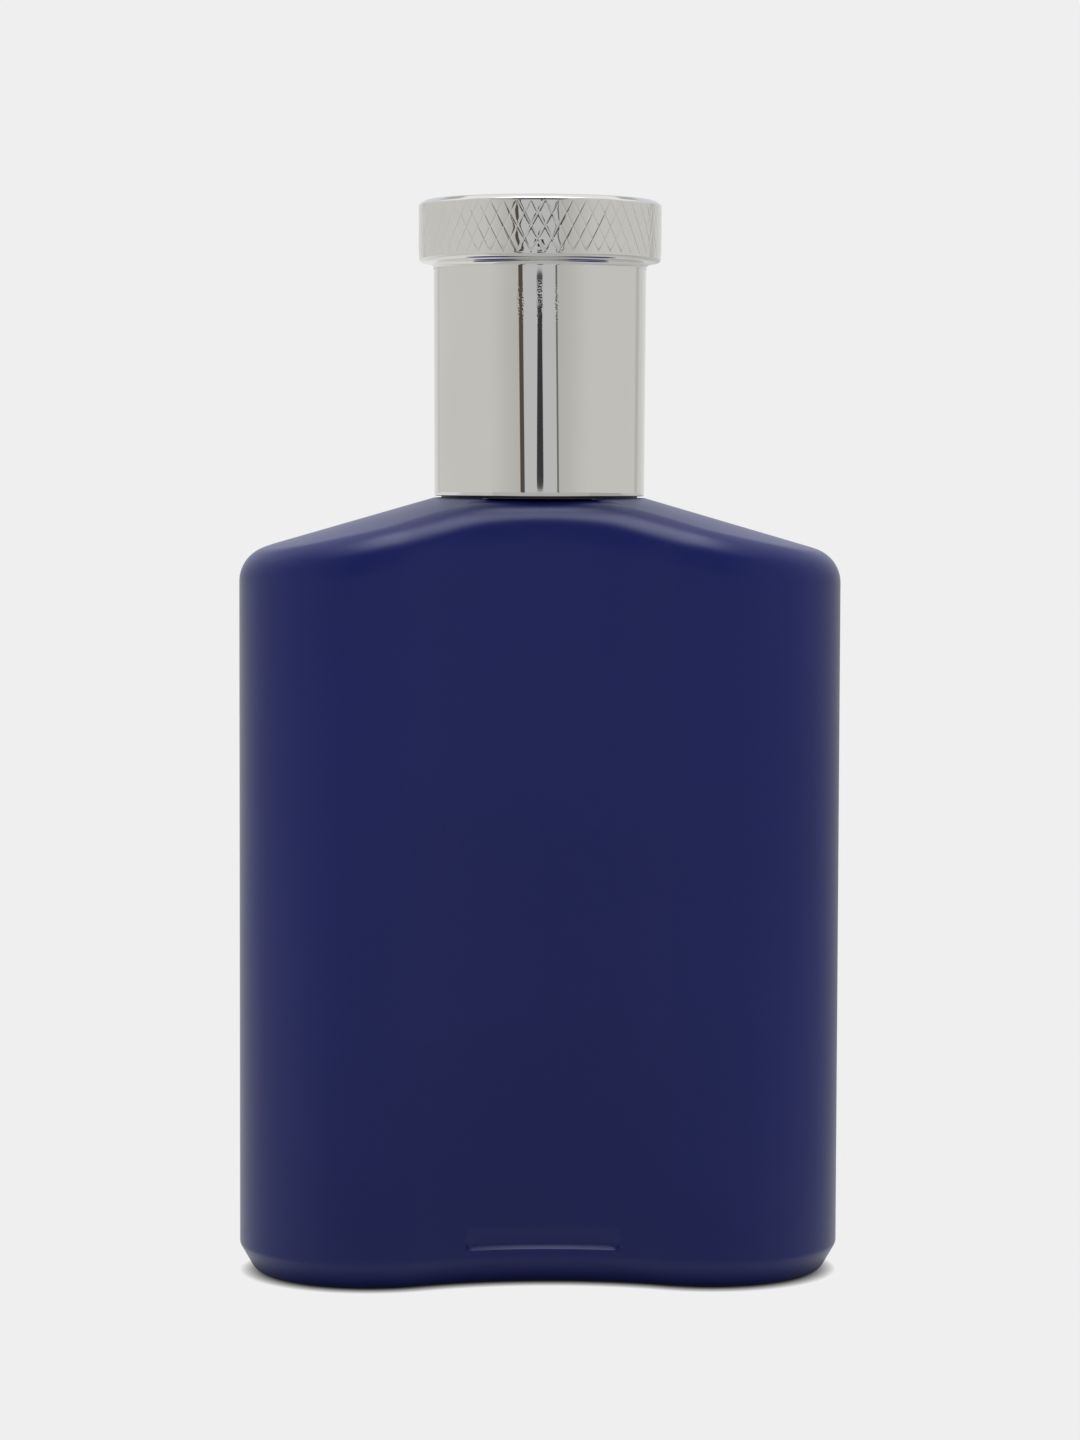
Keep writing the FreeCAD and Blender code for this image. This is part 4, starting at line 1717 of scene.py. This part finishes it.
        wide = (bench.fade(across, *self.outside_step), bench.fade(height, *self.dim_step))
        room = bench.paint(room, wide, grey(self.dim))
        narrow = (inside, bench.fade(height, *self.dark_step))
        room = bench.paint(room, narrow, grey(self.dark))
        room = bench.paint(room, (bench.fade(along, *self.behind_step), high), grey(self.behind))
        strip = (
            bench.fade(along, *self.strip_step),
            bench.fade(across, *self.strip_side_step),
            high,
        )
        room = bench.paint(room, strip, grey(self.strip))
        rear = (
            bench.fade(y, *self.behind_step),
            bench.fade(height, *self.rear_high_step),
            bench.fade(height, *self.rear_low_step),
        )
        room = bench.paint(room, rear, self.rear)
        core = bench.fade(across, *self.softbox_core_step)
        box = (
            inside,
            bench.fade(along, *self.softbox_front_step),
            bench.fade(along, *self.softbox_back_step),
            high,
        )
        return bench.paint(room, box, bench.spread(core, self.softbox_veil, self.softbox))


@dataclass(frozen=True)
class Studio:
    """The pale floor under the bottle.

    Lengths are in millimetres. The camera sees one even glowing tone with a painted contact
    shadow, made by ambient occlusion rather than cast by the lamps, and the bottle mirrors a
    floor that is darker to the sides, to the right and in front, with painted shade near the
    bottle's foot.
    """

    reach: float = 3000.0
    sink: float = 0.05
    level: float = 0.863
    mirror_level: float = 0.8
    side_level: float = 0.6
    side_step: Step = (160.0, 620.0)
    side_depth_step: Step = (500.0, 100.0)
    right_share: float = 0.27
    right_step: Step = (0.0, 150.0)
    front_level: float = 0.5
    front_step: Step = (-15.0, -60.0)
    front_splay: float = 0.7
    front_splay_step: Step = (20.0, -30.0)
    matt_level: float = 0.85
    # Painted shade from ambient occlusion: reach and steepness for the camera (shadow) and in
    # reflections (mirror), and the shade's tone.
    shadow_reach: float = 1.95
    shadow_power: float = 1.15
    mirror_reach: float = 2.4
    mirror_power: float = 2.2
    shadow_tone: Colour = (0.03, 0.03, 0.035)

    def build(self) -> bpy.types.Object:
        """Lay the pale floor, with the bottle's contact shadow painted into it.

        Returns:
            The floor.
        """
        edge, low = self.reach, -self.sink
        draft = Draft()
        corners = [(-edge, -edge, low), (edge, -edge, low), (edge, edge, low), (-edge, edge, low)]
        draft.faces.append(tuple(draft.loop(corners)))
        floor = draft.make("studio_floor")
        floor.data.materials.append(self.material())
        log.info("floor laid")
        return floor

    def material(self) -> bpy.types.Material:
        """Make the floor's material: an even glowing tone to look at, and a matt floor for the
        light, both darkened near the bottle by painted shade.

        Returns:
            The material.
        """
        material = bpy.data.materials.new("pale_floor")
        material.use_nodes = True
        bench = NodeBench(material.node_tree)
        path = bench.add("ShaderNodeLightPath")
        seen = path.outputs["Is Camera Ray"]
        lit = bench.blend(seen, self.mirrored(bench), grey(self.level))
        # Painted contact shadow: ambient occlusion darkens the glowing floor towards shadow_tone,
        # with a short reach for the camera and a longer one in the bottle's reflections.
        contact = self.hidden(bench, self.shadow_reach, self.shadow_power)
        under = self.hidden(bench, self.mirror_reach, self.mirror_power)
        open_share = bench.add("ShaderNodeMix")
        for place, value in ((0, seen), (2, under), (3, contact)):
            bench.feed(open_share.inputs[place], value)
        glow = bench.add("ShaderNodeEmission")
        tone = bench.blend(open_share.outputs[0], self.shadow_tone, lit)
        bench.feed(glow.inputs["Color"], tone)
        # Painted shade: the matt floor's own colour darkens towards shadow_tone near the bottle, so
        # less light bounces from there.
        matt = bench.add("ShaderNodeBsdfDiffuse")
        pale = bench.blend(under, self.shadow_tone, grey(self.matt_level))
        bench.feed(matt.inputs["Color"], pale)
        shown = bench.math("MAXIMUM", seen, path.outputs["Is Glossy Ray"])
        shown = bench.math("MAXIMUM", shown, path.outputs["Is Transmission Ray"])
        mix = bench.add("ShaderNodeMixShader")
        for place, value in enumerate((shown, matt.outputs[0], glow.outputs[0])):
            bench.feed(mix.inputs[place], value)
        bench.feed(bench.add("ShaderNodeOutputMaterial").inputs["Surface"], mix.outputs[0])
        return material

    def mirrored(self, bench: NodeBench) -> Socket:
        """Return the floor's tone as the bottle mirrors it.

        Args:
            bench: The floor material's bench.

        Returns:
            The tone's socket.
        """
        place = bench.add("ShaderNodeSeparateXYZ")
        bench.feed(place.inputs[0], bench.add("ShaderNodeNewGeometry").outputs["Position"])
        x, y = place.outputs["X"], place.outputs["Y"]
        square = bench.math("ADD", bench.math("MULTIPLY", x, x), bench.math("MULTIPLY", y, y))
        far = bench.math("SQRT", square)
        side = (
            bench.fade(far, *metres(self.side_step)),
            bench.fade(y, *metres(self.side_depth_step)),
        )
        tone = bench.blend(bench.product(side), grey(self.mirror_level), grey(self.side_level))
        right = bench.math("MULTIPLY", bench.fade(x, *metres(self.right_step)), self.right_share)
        tone = bench.blend(right, tone, grey(0.0))
        splay = bench.math("MULTIPLY", bench.math("ABSOLUTE", x), self.front_splay)
        splayed = bench.math("ADD", y, splay)
        ahead = (
            bench.fade(y, *metres(self.front_step)),
            bench.fade(splayed, *metres(self.front_splay_step)),
        )
        return bench.paint(tone, ahead, grey(self.front_level))

    def hidden(self, bench: NodeBench, reach: float, power: float) -> Socket:
        """Return how open the floor is to the light by ambient occlusion, which paints the shade
        under and beside the bottle.

        Args:
            bench: The floor material's bench.
            reach: How far the shade reaches, in millimetres.
            power: How steeply it deepens.

        Returns:
            The open share's socket.
        """
        shade = bench.add("ShaderNodeAmbientOcclusion", samples=16)
        shade.inputs["Distance"].default_value = reach * MM
        return bench.math("POWER", shade.outputs["AO"], power)


@dataclass(frozen=True)
class SideLamp:
    """A large soft lamp that lights matt surfaces and stays out of mirror reflections.

    Attributes:
        name: The lamp's name.
        azimuth: Degrees round the bottle from straight ahead, positive to the right.
        height: Degrees above the horizon.
        power: Its power in watts.
        distance: How far it hangs from the point that it aims at, in millimetres.
        size: The side of its square face in millimetres.
        aim: The point that it aims at, in millimetres.
    """

    name: str
    azimuth: float
    height: float
    power: float
    distance: float = 600.0
    size: float = 360.0
    aim: Point = (0.0, 0.0, 60.0)

    def make(self) -> bpy.types.Object:
        """Hang the lamp and aim it at the bottle.

        Returns:
            The lamp.
        """
        turn, rise = math.radians(self.azimuth), math.radians(self.height)
        level = math.cos(rise)
        out = Vector((math.sin(turn) * level, -math.cos(turn) * level, math.sin(rise)))
        data = bpy.data.lights.new(self.name, "AREA")
        data.size = self.size * MM
        data.energy = self.power
        lamp = bpy.data.objects.new(self.name, data)
        lamp.location = (Vector(self.aim) + out * self.distance) * MM
        lamp.rotation_euler = out.to_track_quat("Z", "Y").to_euler()
        lamp.visible_glossy = False
        lamp.visible_camera = False
        bpy.context.scene.collection.objects.link(lamp)
        log.info("%s hung", self.name)
        return lamp


@dataclass(frozen=True)
class Viewpoint:
    """The camera's place, as seen from the neck axis.

    Attributes:
        distance: From the neck axis.
        height: Above the base.
        turn: Degrees that it stands to the left of straight ahead.
        pitch: Degrees that it looks down.
        roll: Degrees that it leans.
        focal: Focal length.
        frame_size: The frame's height.
        aside: Sideways shift of the frame, as a share of it.
        nearest: Where the view starts.
    """

    distance: float = 560.0
    height: float = 108.32
    turn: float = 2.291
    pitch: float = 3.569
    roll: float = 0.183
    focal: float = 104.265
    frame_size: float = 36.0
    aside: float = 0.001
    nearest: float = 10.0

    def make(self) -> bpy.types.Object:
        """Make the scene's camera.

        Returns:
            The camera.
        """
        turn, pitch, roll = (math.radians(a) for a in (self.turn, self.pitch, self.roll))
        place = Vector((
            -self.distance * math.sin(turn),
            NECK_Y - self.distance * math.cos(turn),
            self.height,
        ))
        ahead = Vector((
            math.sin(turn) * math.cos(pitch),
            math.cos(turn) * math.cos(pitch),
            -math.sin(pitch),
        ))
        level = Vector((math.cos(turn), -math.sin(turn), 0.0))
        upright = level.cross(ahead)
        right = level * math.cos(roll) + upright * math.sin(roll)
        up = upright * math.cos(roll) - level * math.sin(roll)
        data = bpy.data.cameras.new("viewpoint")
        data.lens = self.focal
        data.sensor_width = self.frame_size
        data.shift_x = self.aside
        data.clip_start = self.nearest * MM
        camera = bpy.data.objects.new("viewpoint", data)
        facing = Matrix((right, up, -ahead)).transposed().to_4x4()
        camera.matrix_world = Matrix.Translation(place * MM) @ facing
        bpy.context.scene.collection.objects.link(camera)
        bpy.context.scene.camera = camera
        log.info("camera set")
        return camera


def main() -> None:
    """Build the bottle, dress it and set up the studio."""
    logging.basicConfig(level=logging.INFO, format="%(message)s")
    bpy.context.scene.view_settings.view_transform = "Standard"
    Viewpoint().make()
    FlaskBody().build()
    Overcap().build()
    pump = PumpAndCollar()
    pump.dress()
    pump.spring()
    Studio().build()
    LightTent().make()
    SideLamp("left_lamp", -95.0, 8.0, 1.1).make()
    SideLamp("right_lamp", 95.0, 8.0, 1.1).make()
    SideLamp("front_lamp", 0.0, 30.0, 1.5).make()
    SideLamp("rear_lamp", 180.0, 62.0, 5.8).make()


if __name__ == "__main__":
    main()
